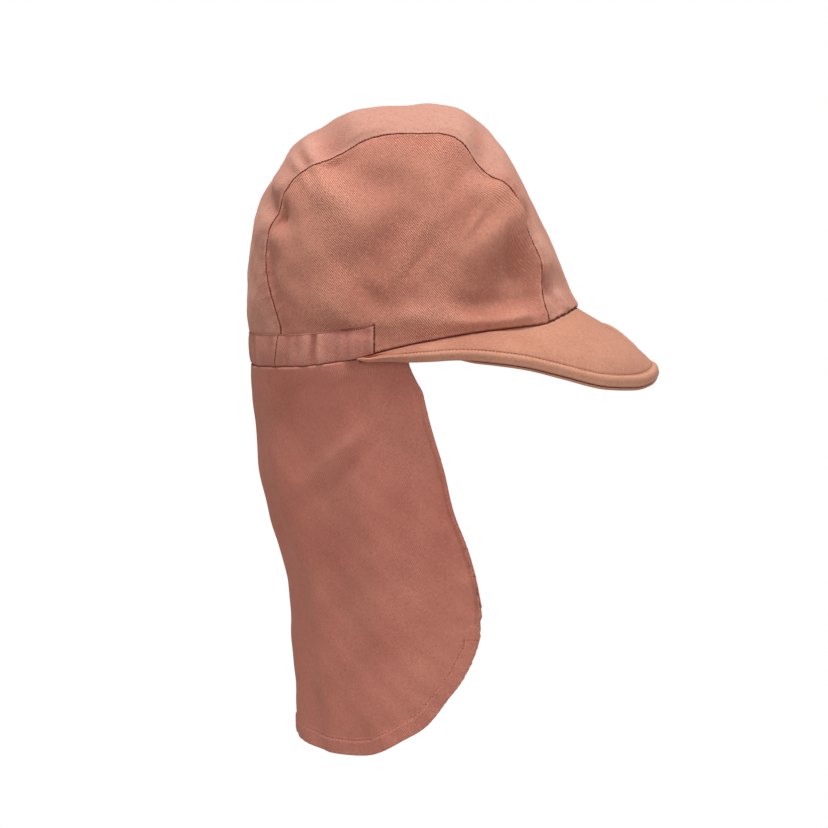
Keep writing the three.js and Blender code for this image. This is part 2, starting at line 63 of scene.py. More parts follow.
MM = 0.001
PICTURE_SIZE = 828
SENSOR_WIDTH = 36.0
MM_PER_PIXEL = 0.54
CAMERA_DISTANCE = 2000.0
CAMERA_RISE = 4.0
CAMERA_LOOKS_AT = np.array([0.5, 0.0, -42.7])

scene = bpy.context.scene
camera_data = bpy.data.cameras.new("camera")
camera_data.sensor_width = SENSOR_WIDTH
camera_data.lens = SENSOR_WIDTH * CAMERA_DISTANCE / (PICTURE_SIZE * MM_PER_PIXEL)
camera = bpy.data.objects.new("camera", camera_data)
scene.collection.objects.link(camera)
rise = math.radians(CAMERA_RISE)
backwards = np.array([0.0, -math.cos(rise), math.sin(rise)])
camera.location = (CAMERA_LOOKS_AT + CAMERA_DISTANCE * backwards) * MM
camera.rotation_euler = (math.radians(90) - rise, 0.0, 0.0)
scene.camera = camera
print(f"camera: {camera_data.lens:.1f} mm lens, {CAMERA_DISTANCE * MM:.1f} m away")

# %% [markdown]
# ## Sizes
# The cloth has to sit where the solids are, so their named sizes come first, in millimetres, and the
# tables that draw the outline, the hem and the seams as shares of those sizes.

# %% The crown's sizes and tables
CROWN_LENGTH = 178.0
CROWN_WIDTH = 144.0
CROWN_HEIGHT = 124.0
CROWN_WALL = 1.6
FULLNESS = 2.2
HEM_RISE = 31.0
# The solids keep the first gap where panels meet. The cloth of this lesson is drawn with the second.
SEAM_GAP = 0.3
SHOWN_GAP = 0.04
PUCKER_DEPTH = 4.5
PUCKER_SPREAD = 13.0
DENT_DEPTH = 3.0
DENT_FADE = 0.35
LEFT_DENTS = 0.6
HALF_LENGTH = CROWN_LENGTH / 2
HALF_WIDTH = CROWN_WIDTH / 2
HALF_RISE = HEM_RISE / 2

# The outline from the side: along as a share of half the length, up as a share of the height.
OUTLINE = [
    (0.99, -0.1), (0.995, 0.127), (0.952, 0.183), (0.908, 0.265), (0.837, 0.392), (0.764, 0.502),
    (0.68, 0.635), (0.579, 0.769), (0.48, 0.872), (0.407, 0.918), (0.293, 0.973), (0.179, 0.995),
    (-0.022, 1.0), (-0.252, 0.986), (-0.425, 0.952), (-0.566, 0.899), (-0.71, 0.827), (-0.825, 0.706),
    (-0.91, 0.601), (-0.958, 0.492), (-0.989, 0.368), (-1.001, 0.24), (-1.004, 0.152), (-0.99, 0.04),
    (-0.981, -0.044), (-0.976, -0.131), (-0.97, -0.25),
]
# Degrees round from the front, and the hem's height as a share of half its rise.
HEM = [
    (0, 1.01), (12, 0.99), (21, 0.87), (27, 0.74), (34, 0.56), (45, 0.47), (64, 0.3), (82, 0.05),
    (95, -0.17), (105, -0.38), (112, -0.56), (120, -0.69), (136, -0.88), (150, -0.95), (180, -1.0),
]
# Degrees over the top from the front, and the centre panel's half width as a share of half the width.
SEAM = [
    (-10, 0.64), (9, 0.64), (21, 0.59), (30, 0.535), (46, 0.515), (60, 0.53), (90, 0.55), (120, 0.535),
    (145, 0.505), (157, 0.54), (165, 0.595), (174, 0.645), (182, 0.645), (191, 0.625), (205, 0.62),
]
# Degrees over the top, and how the stitching pulls the seam in (negative) or lifts it.
PUCKERS = [
    (9, -0.15), (21, -0.05), (30, 0.24), (37, 0.18), (46, 0.35), (54, 0.78), (60, 0.31), (65, -0.75),
    (70.5, -1.0), (75, -0.18), (88, 0.15), (103, -0.09), (109, -0.49), (114, -0.58), (122, 0.0),
    (128, 0.62), (132, 0.46), (136, -0.33), (142, -0.07), (149, 0.13), (165, -0.18), (174, -0.26), (191, 0),
]

# %% [markdown]
# ## The crown as a surface
# A cap's crown is sewn from flat cloth, but worn it takes the head's shape. Its smooth form is the side
# outline, rounded across by one power: 2 would be an ellipse, and a little more is boxier. Every point of
# the cloth is this form, moved a little: the seams pull it in, and the loose sides dent and fold.

# %% Smooth curves through tables
def smooth_curve(rows, at, level_at_first=False, column=1):
    """The value at any place of a table's column. Between two rows runs a cubic, whose slope at a row is the
    mean of the slopes on both sides, each weighed by the other side's width."""
    place, value = np.array(rows, float).T[[0, column]]
    step = np.diff(place)
    slant = np.diff(value) / step
    slope = np.empty(len(place))
    slope[1:-1] = (slant[:-1] * step[1:] + slant[1:] * step[:-1]) / (step[:-1] + step[1:])
    slope[0] = 0.0 if level_at_first else slant[0]
    slope[-1] = slant[-1]
    at = np.clip(at, place[0], place[-1])
    row = np.clip(np.searchsorted(place, at) - 1, 0, len(place) - 2)
    t = (at - place[row]) / step[row]
    rest = 1.0 - t
    ends = value[row] * (1 + 2 * t) * rest**2 + value[row + 1] * t**2 * (3 - 2 * t)
    return ends + step[row] * t * rest * (slope[row] * rest - slope[row + 1] * t)


def smoothstep(at, low, high):
    """0 below low and 1 above high, with a soft change between: 3t^2 - 2t^3."""
    t = np.clip((at - low) / (high - low), 0.0, 1.0)
    return t * t * (3 - 2 * t)


# %% The smooth crown
def turn_of(x, z):
    """The turn of a point of the side view, in degrees from the front over the top."""
    turn = np.degrees(np.arctan2(z, x))
    return np.where(turn < -60, turn + 360, turn)


outline_x, outline_z = np.array(OUTLINE).T * np.array([[HALF_LENGTH], [CROWN_HEIGHT]])
outline_rows = np.stack([turn_of(outline_x, outline_z), np.hypot(outline_x, outline_z)], axis=-1)


def outline_reach(turn):
    """How far the outline lies from the origin at a turn."""
    return smooth_curve(outline_rows, turn)


def seam_half(turn):
    """Half the width of the centre panel at a turn."""
    return HALF_WIDTH * smooth_curve(SEAM, turn)


def hem_height(way_round):
    """The hem's height at so many degrees round from the front."""
    return HALF_RISE * smooth_curve(HEM, np.abs(way_round), level_at_first=True)


def crown_level(points):
    """(reach / outline)^n + (|y| / half width)^n, which is 1 on the smooth crown."""
    x, y, z = np.moveaxis(points, -1, 0)
    in_side_view = np.hypot(x, z) / outline_reach(turn_of(x, z))
    return in_side_view**FULLNESS + (np.abs(y) / HALF_WIDTH) ** FULLNESS


def unit(vectors):
    """Vectors of length one."""
    return vectors / np.maximum(np.linalg.norm(vectors, axis=-1, keepdims=True), 1e-9)


def crown_normal(points):
    """The outward direction of the smooth crown: how crown_level grows along each axis."""
    step = 0.5 * np.eye(3)
    slopes = [crown_level(points + step[axis]) - crown_level(points - step[axis]) for axis in range(3)]
    return unit(np.stack(slopes, axis=-1))


def over_top(turn, y):
    """A point of the smooth crown at a turn and a distance from the middle plane: the outline's reach
    shrinks by (1 - (|y| / half width)^n)^(1/n)."""
    reach = outline_reach(turn) * (1 - (np.abs(y) / HALF_WIDTH) ** FULLNESS) ** (1 / FULLNESS)
    angle = np.radians(turn)
    return np.stack([reach * np.cos(angle), y * np.ones_like(reach), reach * np.sin(angle)], axis=-1)


def find_change(low, high, is_below):
    """The place between low and high where a test turns from true to false, by halving 40 times."""
    for _ in range(40):
        middle = (low + high) / 2
        below = is_below(middle)
        low = np.where(below, middle, low)
        high = np.where(below, high, middle)
    return (low + high) / 2


def round_side(way_round, z):
    """A point of the smooth crown at so many degrees round and a height."""
    way_round, z = np.broadcast_arrays(np.asarray(way_round, float), np.asarray(z, float))
    angle = np.radians(way_round)

    def at(radius):
        return np.stack([radius * np.cos(angle), radius * np.sin(angle), z], axis=-1)

    zero = np.zeros_like(angle)
    return at(find_change(zero, zero + CROWN_LENGTH, lambda radius: crown_level(at(radius)) < 1))


def outward_at(way_round, up=0.0):
    """The level direction at so many degrees round, or one that also rises."""
    angle = np.radians(way_round)
    return np.stack([np.cos(angle), np.sin(angle), np.full_like(angle, up)], axis=-1)


def over_side(x, z, side):
    """A point of the smooth crown above a place of the side view."""
    in_side_view = np.hypot(x, z) / outline_reach(turn_of(x, z))
    y = HALF_WIDTH * np.maximum(0, 1 - in_side_view**FULLNESS) ** (1 / FULLNESS)
    return np.stack([x, side * y, z], axis=-1)


print(f"crown: {outline_reach(90.0):.1f} mm high over the origin, hem at {hem_height(0.0):.1f} mm in front")

# %% [markdown]
# ## Folds and dents
# Twill this soft never lies still. The large forms come from the photo: a deep hollow in front of the ear
# that runs into the seam, a fold beside it, a ridge that runs to the back, bumps under the seam. Each is a
# soft hill or hollow, long one way and narrow the other. The source has the largest six, and the finer
# ones are added here. A slow unevenness, made of a few long waves, keeps the rest from looking moulded.

# %% The tables of the folds
FOLD_DEPTH = 5.5
SIDE_UNEVENNESS = 2.0
# The finer folds begin at the seam and are whole at this share past it.
FOLD_FADE = 0.12
# Folds this high, in millimetres, are well rubbed and painted pale on their ridges, and in full painted shade
# in their hollows.
SHADE_AND_WEAR_HEIGHT = 3.2
# Along as a share of half the length. Up, long and wide are shares of the height, tilt is in degrees, and
# deep is a share of the dent depth, or of the fold depth in the finer tables, negative for a hollow.
DENTS = [
    ("front hollow", 0.6, 0.34, 0.3, 0.16, 62, -1.0),
    ("fold beside the hollow", 0.27, 0.36, 0.26, 0.07, 48, 0.55),
    ("crease behind the fold", 0.1, 0.38, 0.24, 0.06, 50, -0.4),
    ("wedge above the hem", 0.52, 0.12, 0.22, 0.06, 8, 0.5),
    ("ridge to the back", -0.56, 0.28, 0.3, 0.07, -32, 0.45),
    ("bump under the seam", -0.5, 0.66, 0.18, 0.12, 60, 0.5),
]
RIGHT_FOLDS = [
    ("hollow's depth", 0.53, 0.23, 0.15, 0.085, 58, -0.9),
    ("hollow's floor", 0.5, 0.16, 0.2, 0.044, 3, -0.62),
    ("hollow's upper lip", 0.44, 0.45, 0.17, 0.06, 34, 0.34),
    ("pull beside the seam", 0.67, 0.27, 0.18, 0.042, -68, -1.00),
    ("ledge over the hem", 0.46, 0.085, 0.2, 0.034, 3, 0.55),
    ("ledge's front end", 0.64, 0.105, 0.06, 0.03, 20, 0.2),
    ("shoulder beside the seam", 0.61, 0.5, 0.12, 0.085, -50, 0.62),
    ("hollow's top filled", 0.59, 0.47, 0.13, 0.07, 42, 0.45),
    ("front hollow calmed", 0.66, 0.36, 0.14, 0.08, 64, 0.34),
    ("slash crease", 0.02, 0.325, 0.11, 0.026, 52, -0.2),
    ("slash crease's lip", 0.24, 0.36, 0.24, 0.06, 49, -0.46),
    ("low swell", 0.02, 0.11, 0.2, 0.05, 8, 0.36),
    ("ridge calmed", -0.56, 0.28, 0.3, 0.07, -32, -0.14),
    ("ridge's far end", -0.26, 0.19, 0.1, 0.05, -36, -0.22),
    ("low back swell", -0.56, 0.16, 0.18, 0.055, -24, 0.16),
    ("middle hollow", -0.12, 0.47, 0.15, 0.085, 50, -0.52),
    ("top hollow", -0.2, 0.67, 0.13, 0.08, -10, -0.66),
    ("front bump", 0.44, 0.66, 0.12, 0.085, -40, 0.44),
    ("valley behind the bump", 0.19, 0.58, 0.15, 0.045, 62, -0.34),
    ("small fold under the bump", 0.36, 0.5, 0.08, 0.022, 54, 0.26),
    ("back bump", -0.49, 0.61, 0.115, 0.075, -40, 0.66),
    ("broad swell", -0.48, 0.49, 0.17, 0.13, 20, 0.36),
    ("hollow under the swell", -0.28, 0.33, 0.2, 0.09, 20, -0.4),
    ("small bump below", -0.82, 0.43, 0.1, 0.055, 40, 0.46),
    ("middle fold", 0.1, 0.5, 0.16, 0.045, 42, 0.28),
    ("upper middle fold", 0.12, 0.75, 0.12, 0.05, 66, 0.28),
    ("back shoulder", -0.8, 0.55, 0.17, 0.042, 76, -0.44),
    ("shoulder's fold", -0.64, 0.5, 0.11, 0.028, 74, 0.24),
    ("side seam's pull", -0.86, 0.2, 0.2, 0.035, 84, -0.32),
    ("dip over the casing", -0.42, 0.045, 0.11, 0.026, -6, -0.26),
]
LEFT_FOLDS = [
    ("long fold", 0.3, 0.42, 0.34, 0.05, 40, 0.26),
    ("its shadow", 0.42, 0.34, 0.3, 0.045, 42, -0.26),
    ("back fold", -0.45, 0.4, 0.3, 0.055, -38, 0.26),
    ("low crease", -0.1, 0.16, 0.26, 0.03, 10, -0.24),
    ("upper hollow", 0.05, 0.74, 0.22, 0.07, -6, -0.22),
]
# Degrees over the top, and the height in millimetres of the waves that the thread leaves across the seam.
SEAM_WAVES = [
    (10, 0.0), (15, 0.3), (19, -0.9), (24, -0.2), (29, 0.8), (35, 0.7), (42, -0.8), (47, -0.9), (54, 0.5),
    (61, 1.5), (68, -1.7), (77, 1.0), (85, 0.2), (95, 0.3), (106, 2.2), (116, -2.6), (119.3, 0.7),
    (121.8, -0.8), (124, 0.5), (126.2, -0.8), (131, 2.3), (138, -2.7), (142.5, 0.8), (150, -0.5), (160, 0.2),
    (170, 0.0),
]
# How far the waves reach, and between which distances from the seam and from the middle plane they fade in.
WAVE_OVER_STRIP = 24.0
WAVE_OVER_SIDE = 9.0
SEAM_HOLD = (0.1, 4.0)
MIDDLE_HOLD = (0.0, 14.0)
# The left seam has the same waves, lower and a few degrees further back.
LEFT_WAVES = 0.6
LEFT_WAVE_SHIFT = 3.5
# Directions, wavelengths in millimetres, phases and heights of the slow unevenness.
UNEVENNESS = [
    ((0.8, 0.2, 0.6), 38.0, 0.4, 0.16), ((-0.3, 0.5, 0.8), 29.0, 2.1, 0.13),
    ((0.5, -0.7, 0.4), 23.0, 4.0, 0.1), ((0.9, 0.4, -0.3), 17.0, 1.2, 0.07),
    ((-0.6, 0.3, -0.7), 12.5, 5.1, 0.05), ((0.2, 0.9, 0.5), 9.0, 3.3, 0.03),
]


# %% The worn cloth
def hills(points, rows):
    """The sum of soft hills in the side view: deep * exp(-(lengthwise / long)^2 - (sideways / wide)^2)."""
    height = np.zeros(points.shape[:-1])
    for _, along, up, length, width, tilt, deep in rows:
        x = points[..., 0] - along * HALF_LENGTH
        z = points[..., 2] - up * CROWN_HEIGHT
        angle = math.radians(tilt)
        lengthwise = (x * math.cos(angle) + z * math.sin(angle)) / (length * CROWN_HEIGHT)
        sideways = (z * math.cos(angle) - x * math.sin(angle)) / (width * CROWN_HEIGHT)
        height += deep * np.exp(-(lengthwise**2) - sideways**2)
    return height


def beyond_seam(points):
    """How far a point is past the seam, as a share of the centre panel's half width."""
    return np.abs(points[..., 1]) / seam_half(turn_of(points[..., 0], points[..., 2])) - 1


def worn_point(points):
    """The source's worn shape: the smooth crown, pulled in or out beside its seams by
    exp(-(distance / spread)^2), and moved along its normal by the dents of its sides."""
    x, y, z = np.moveaxis(points, -1, 0)
    turn = turn_of(x, z)
    from_seam = (np.abs(y) - seam_half(turn)) / PUCKER_SPREAD
    pull = PUCKER_DEPTH * smooth_curve(PUCKERS, turn) * np.exp(-(from_seam**2))
    outward = unit(np.stack([x, np.zeros_like(y), z], axis=-1))
    side_share = np.where(y < 0, 1.0, LEFT_DENTS)
    dent = DENT_DEPTH * side_share * hills(points, DENTS) * smoothstep(beyond_seam(points), 0, DENT_FADE)
    return points + outward * pull[..., None] + crown_normal(points) * dent[..., None]


def raised(points, height):
    """The worn shape with so many millimetres more along the crown's normal."""
    return worn_point(points) + crown_normal(points) * height[..., None]


def unevenness(points):
    """A slow, shallow unevenness: a sum of sines along slanted directions."""
    height = np.zeros(points.shape[:-1])
    for direction, wavelength, phase, share in UNEVENNESS:
        height += share * np.sin(2 * np.pi * (points @ unit(np.array(direction))) / wavelength + phase)
    return height


def seam_waves(points):
    """Waves along the seam: table(turn) * exp(-(distance / reach)^2). They reach far over the strip and a
    little over the side, and the seam itself keeps its place."""
    turn = turn_of(points[..., 0], points[..., 2])
    y = points[..., 1]
    beyond = np.abs(y) - seam_half(turn)
    reach = np.where(beyond > 0, WAVE_OVER_SIDE, WAVE_OVER_STRIP)
    right = smooth_curve(SEAM_WAVES, turn)
    left = LEFT_WAVES * smooth_curve(SEAM_WAVES, turn - LEFT_WAVE_SHIFT)
    fade = smoothstep(np.abs(beyond), *SEAM_HOLD) * smoothstep(np.abs(y), *MIDDLE_HOLD)
    return np.where(y < 0, right, left) * np.exp(-((beyond / reach) ** 2)) * fade


def fold_height(points):
    """The finer folds of the sides and the slow unevenness, in millimetres along the normal."""
    right = hills(points, RIGHT_FOLDS) * (points[..., 1] < 0)
    left = hills(points, LEFT_FOLDS) * (points[..., 1] > 0)
    fade = smoothstep(beyond_seam(points), 0, FOLD_FADE)
    return FOLD_DEPTH * (right + left) * fade + SIDE_UNEVENNESS * unevenness(points)


def wear(height):
    """How the cloth is painted by its folds: tanh of their height. It is near 1 on the ridges, which are paler,
    partly rubbed and partly a painted highlight, and near -1 in the hollows, which get a painted shade."""
    return np.tanh(height / SHADE_AND_WEAR_HEIGHT)


# %% [markdown]
# ## Lines on the cloth
# Seams, hems and stitching are all lines, and the cloth beside a line changes with the distance from it:
# it turns in at a seam, bulges at a rolled edge and sinks under a row of stitches. One helper measures,
# for every point of a piece, the distance to a line and how far along the line the nearest place is.

# %% Distance to a line
def length_along(grid, axis=0):
    """How long the cloth is from the first row or column of a grid, or the first point of a line."""
    steps = np.diff(grid, axis=axis, prepend=np.take(grid, [0], axis))
    return np.cumsum(np.linalg.norm(steps, axis=-1), axis=axis)


def nearest_on_line(points, line):
    """The distance of each point to a line of short straight steps, and the place along the line. The
    nearest corner is found first, and then the nearest place on the two steps beside it."""
    flat = points.reshape(-1, 3)
    corner = np.concatenate([
        np.argmin((line**2).sum(-1) - 2 * block @ line.T, axis=1)
        for block in np.array_split(flat, max(1, len(flat) // 4000))
    ])
    along = length_along(line)
    best = np.full(len(flat), np.inf)
    place = np.zeros(len(flat))
    for shift in (-1, 0):
        start = np.clip(corner + shift, 0, len(line) - 2)
        step = line[start + 1] - line[start]
        length = np.maximum((step**2).sum(-1), 1e-12)
        t = np.clip(((flat - line[start]) * step).sum(-1) / length, 0, 1)
        distance = np.linalg.norm(flat - line[start] - step * t[:, None], axis=-1)
        nearer = distance < best
        best = np.where(nearer, distance, best)
        place = np.where(nearer, along[start] + t * np.sqrt(length), place)
    return best.reshape(points.shape[:-1]), place.reshape(points.shape[:-1])


def ripples(along, wavelength, phase):
    """Uneven little waves along a line, between -1 and 1: three sines that never repeat together."""
    turn = 2 * np.pi * along / wavelength
    return (np.sin(turn + phase) + 0.7 * np.sin(1.618 * turn + 2.1 * phase)
            + 0.5 * np.sin(0.618 * turn + 0.7 * phase)) / 2.2


def surface_normals(points):
    """The normals of a grid of points: the step between rows crossed with the step between columns."""
    return unit(np.cross(np.gradient(points, axis=0), np.gradient(points, axis=1)))


# %% Meshes from grids
def mesh_piece(name, points, faces, cloth_uv, wall, slot, **values):
    """A finished piece: points in millimetres, its faces, a UV map in metres that lies on the cloth as the
    weave does, the wall's thickness, its slot, which is not used, and values for each point that the material
    reads."""
    mesh = bpy.data.meshes.new(name)
    mesh.from_pydata(points.reshape(-1, 3) * MM, [], faces, shade_flat=False)
    corners = np.empty(len(mesh.loops), dtype=np.int32)
    mesh.loops.foreach_get("vertex_index", corners)
    uv_map = mesh.uv_layers.new(name="cloth")
    uv_map.data.foreach_set("uv", (cloth_uv.reshape(-1, 2) * MM)[corners].ravel())
    for value_name, value in values.items():
        attribute = mesh.attributes.new(value_name, "FLOAT", "POINT")
        attribute.data.foreach_set("value", value.astype(np.float32).ravel())
    piece = bpy.data.objects.new(name, mesh)
    scene.collection.objects.link(piece)
    if wall:
        solidify = piece.modifiers.new("wall", "SOLIDIFY")
        solidify.thickness = wall * MM
        solidify.offset = -1.0
    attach(piece, "root")
    print(f"{name}: {len(faces)} faces")
    return piece


def grid_faces(rows, columns, flipped=False):
    """Four-sided faces between the neighbours of a grid."""
    corner = np.arange(rows * columns).reshape(rows, columns)
    faces = np.stack([corner[:-1, :-1], corner[:-1, 1:], corner[1:, 1:], corner[1:, :-1]], axis=-1)
    faces = faces.reshape(-1, 4)
    return faces[:, ::-1] if flipped else faces


# %% [markdown]
# ## Cloth at a seam
# Two panels sewn together both turn inwards along the seam, and the turned edges underneath lift the cloth
# a little on both sides. That is why a seam shows as a thin dark line between two pale lips. Small
# puckers, where the thread has drawn up the cloth, run out from it.

# %% The profile beside a seam
SEAM_ROUND = 0.5
LIP_HEIGHT = 0.22
LIP_PLACE = 1.5
LIP_WIDTH = 0.7
SMALL_PUCKER = 0.24
SMALL_PUCKER_STEP = 7.0
SMALL_PUCKER_SPREAD = 5.0


def seam_profile(distance, along):
    """How high the cloth lies beside a seam: a quarter round down to the seam, a lip beside it and small
    puckers along it."""
    depth = np.clip(1 - distance / SEAM_ROUND, 0, 1)
    turned_in = -SEAM_ROUND * (1 - np.sqrt(1 - depth**2))
    lip = LIP_HEIGHT * np.exp(-(((distance - LIP_PLACE) / LIP_WIDTH) ** 2))
    puckers = SMALL_PUCKER * ripples(along, SMALL_PUCKER_STEP, 0.6) * np.exp(-distance / SMALL_PUCKER_SPREAD)
    return turned_in + lip + puckers


# %% [markdown]
# ## The side panels
# Each side of the crown is one arched panel. In the side view it is a shape that can be seen whole from
# one inner point, so a square grid fits it: each square of the grid grows into a ring that has the
# border's shape. The rings crowd at the border, where the seam's small forms are.

# %% The lines over the top
CASING_HEIGHT = 17.0
CASING_END = 106.0
CASING_TOP = [(104, 0.88), (116, 0.96), (136, 1.0), (180, 1.02)]
FRONT_TURNS = (-12.0, 60.0)
BACK_TURNS = (120.0, 200.0)


def casing_top(way_round):
    """The height of the casing's upper edge."""
    return hem_height(way_round) + CASING_HEIGHT * smooth_curve(CASING_TOP, np.abs(way_round))


def round_of(points):
    """The way round to a point, in degrees from the front and negative to the right."""
    return np.degrees(np.arctan2(points[..., 1], points[..., 0]))


def lines_over_top(shares, seam_shift, steps):
    """Lines from the hem over the top to the casing, at shares of the way to a seam."""
    def at(turn):
        return over_top(turn, shares * (seam_half(turn) + seam_shift))

    def is_below_hem(turn):
        return at(turn)[..., 2] < hem_height(round_of(at(turn)))

    def is_above_casing(turn):
        return at(turn)[..., 2] > casing_top(round_of(at(turn))) + SHOWN_GAP / 2

    zero = np.zeros_like(shares)
    first = find_change(zero + FRONT_TURNS[0], zero + FRONT_TURNS[1], is_below_hem)
    last = find_change(zero + BACK_TURNS[0], zero + BACK_TURNS[1], is_above_casing)
    turns = first + (last - first) * np.linspace(0, 1, steps + 1)[:, None]
    return over_top(turns, shares * (seam_half(turns) + seam_shift))


# %% The border of a side panel
PANEL_SQUARE = 208
PANEL_MIDDLE = 0.45
PANEL_CROWDING = 1.35
CASING_TOP_STEPS = 96
CASING_END_STEPS = 26
PANEL_HEM_STEPS = 190
PANEL_SEAM_STEPS = 4 * PANEL_SQUARE - CASING_TOP_STEPS - CASING_END_STEPS - PANEL_HEM_STEPS


def panel_border():
    """The border of the left panel: over the seam to the back, along the casing's top, down its front end
    and along the hem to the front."""
    over_seam = lines_over_top(np.array([1.0]), SHOWN_GAP / 2, PANEL_SEAM_STEPS)[:, 0]
    casing_front = CASING_END - math.degrees(SHOWN_GAP / HALF_WIDTH)
    back_round = float(round_of(over_seam[-1]))
    front_round = float(round_of(over_seam[0]))
    rounds = np.linspace(back_round, casing_front, CASING_TOP_STEPS + 1)[1:]
    over_casing = round_side(rounds, casing_top(rounds) + SHOWN_GAP / 2)
    end_top = casing_top(casing_front) + SHOWN_GAP / 2
    heights = np.linspace(end_top, hem_height(casing_front), CASING_END_STEPS + 1)
    down_end = round_side(casing_front, heights[1:])
    rounds = np.linspace(casing_front, front_round, PANEL_HEM_STEPS + 1)[1:-1]
    along_hem = round_side(rounds, hem_height(rounds))
    return np.concatenate([over_seam, over_casing, down_end, along_hem])


border = panel_border()
print(f"side panel's border: {len(border)} points")


# %% The front of the hem is drawn up most
CLOTH_WALL = 0.8
# Size in millimetres, where they fade in degrees round, wavelength in millimetres and phase.
HEM_PUCKERS = (0.95, (22.0, 42.0), 4.6, 1.9)
HEM_WOBBLE = (0.55, (26.0, 60.0), 6.4, 0.4)
HEM_WAVE_SPREAD = 5.0
CASING_DIP = 0.2
CASING_DIP_SPREAD = 1.2


def hem_waves(points, size, fades, wavelength, phase):
    """Little waves along the front of the hem, which fade upwards by exp(-height / spread), and towards the
    sides."""
    way_round = round_of(points)
    above = np.maximum(points[..., 2] - hem_height(way_round), 0)
    fade = np.exp(-above / HEM_WAVE_SPREAD) * (1 - smoothstep(np.abs(way_round), *fades))
    return size * fade * ripples(np.radians(way_round) * HALF_LENGTH, wavelength, phase)


def casing_dip(points):
    """The cloth dips where the casing's upper edge is stitched to it."""
    above = np.maximum(points[..., 2] - casing_top(round_of(points)), 0)
    behind = smoothstep(np.abs(round_of(points)), CASING_END - 2, CASING_END + 1)
    return -CASING_DIP * behind * np.exp(-((above / CASING_DIP_SPREAD) ** 2))


def panel_cloth(points, height):
    """A panel's cloth at a height: gathers raise it at the hem, and the hem itself strays up and down."""
    cloth = raised(points, height + hem_waves(points, *HEM_PUCKERS) + casing_dip(points))
    cloth[..., 2] += hem_waves(points, *HEM_WOBBLE)
    return cloth


# %% The panels' cloth
# Millimetres forward, up and back between which the weave wears off, and how clear it stays there.
WORN_FRONT = (14.0, 42.0)
WORN_TOP = (62.0, 84.0)
WORN_BACK = (-66.0, -38.0)
WORN_CLEAR = 0.22


def square_rings(count):
    """The places of a square grid as a ring and a step round it: the ring is the greater of the two
    distances from the middle, and the step runs round the square from a corner."""
    half = count // 2
    across, up = np.meshgrid(np.arange(count + 1) - half, np.arange(count + 1) - half)
    ring = np.maximum(np.abs(across), np.abs(up))
    safe = np.maximum(ring, 1)
    on_right = (across == ring) & (up > -ring)
    on_top = (up == ring) & (across < ring)
    on_left = (across == -ring) & (up < ring)
    step = np.where(on_right, up + ring, np.where(on_top, 3 * ring - across, np.where(
        on_left, 5 * ring - up, 7 * ring + across)))
    return ring / half, (step / (8 * safe)) % 1.0


def weave_clear(points):
    """How clearly the weave shows: most in the middle of the side, less in front and low at the back, where
    hands touch the cap."""
    in_front = smoothstep(points[..., 0], *WORN_FRONT)
    behind = 1 - smoothstep(points[..., 0], *WORN_BACK)
    return 1.0 - (1.0 - WORN_CLEAR) * (in_front + behind) * (1 - smoothstep(points[..., 2], *WORN_TOP))


def side_panel(name, side, node):
    """One side panel: its place in the side view is lerp(middle, border, ring share)."""
    ring, step = square_rings(PANEL_SQUARE)
    place = step * len(border)
    before = np.floor(place).astype(int) % len(border)
    part = (place - np.floor(place))[..., None]
    end = border[before] * (1 - part) + border[(before + 1) % len(border)] * part
    grown = (1 - (1 - ring) ** PANEL_CROWDING)[..., None]
    middle = np.array([0.0, 0.0, PANEL_MIDDLE * CROWN_HEIGHT])
    flat = middle + grown * (end - middle)
    smooth = over_side(flat[..., 0], flat[..., 2], side)
    at_border = ring > 0.9999
    smooth[at_border] = end[at_border] * np.array([1, side, 1])
    own_border = border * np.array([1, side, 1])
    from_casing = own_border[PANEL_SEAM_STEPS + CASING_TOP_STEPS:]
    sewn_line = np.concatenate([from_casing, own_border[:PANEL_SEAM_STEPS + 1]])
    distance, along = nearest_on_line(smooth, sewn_line)
    folds = fold_height(smooth)
    points = panel_cloth(smooth, folds + seam_profile(distance, along) + seam_waves(smooth))
    faces = grid_faces(PANEL_SQUARE + 1, PANEL_SQUARE + 1, flipped=side > 0)
    # The last value paints the folds and dents: their hollows darker, a painted shade, and their ridges paler,
    # partly rubbed and partly a painted highlight.
    piece = mesh_piece(
        name, points, faces, smooth[..., [0, 2]], CLOTH_WALL, "crown_twill", from_edge=distance,
        along_edge=along, weave_clear=weave_clear(smooth), wear=wear(folds + DENT_DEPTH * hills(smooth, DENTS)))
    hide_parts(node)
    return piece


crown_side_right = side_panel("crown_side_right", -1, "side_panel_right")
crown_side_left = side_panel("crown_side_left", 1, "side_panel_left")

# %% [markdown]
# ## The centre panel
# A long strip runs over the top from the peak to the casing. Its grid follows it: one way over the top,
# the other way across, and the lines crowd at the two seams. Beside the seams the strip has small creases,
# with painted shade and light in patches, and a painted highlight makes its top paler.

# %% The strip over the top
CENTRE_STEPS = 400
CENTRE_ACROSS = 100
CENTRE_CROWDING = 1.4
# Millimetres from the strip's border, and from the middle plane, between which creases and streaks begin.
CREASE_FADE = (0.2, 3.0)
STREAK_FADE = (4.0, 16.0)
# How much paler the painted highlight makes the top of the strip.
TOP_HIGHLIGHT = 0.75
# A painted highlight makes the top of the cap paler between these heights in millimetres.
TOP_HIGHLIGHT_RISE = (78.0, 112.0)
# Small creases that cross the strip beside the right seam: turn, share across, long and wide in degrees
# and as a share, and height in millimetres.
STRIP_CREASES = [
    (111, -0.5, 4.0, 0.3, -0.8), (135, -0.55, 2.4, 0.3, -0.9), (140, -0.6, 2.0, 0.3, 0.7),
    (98, -0.55, 4.0, 0.36, 0.5), (72, -0.45, 2.6, 0.3, -0.7), (64, -0.4, 2.4, 0.3, 0.8),
    (66, 0.8, 2.6, 0.4, -1.0), (112, 0.75, 2.6, 0.4, -0.9), (24, 0.6, 2.6, 0.4, -0.5),
    (124, 0.8, 1.8, 0.36, 0.9),
]
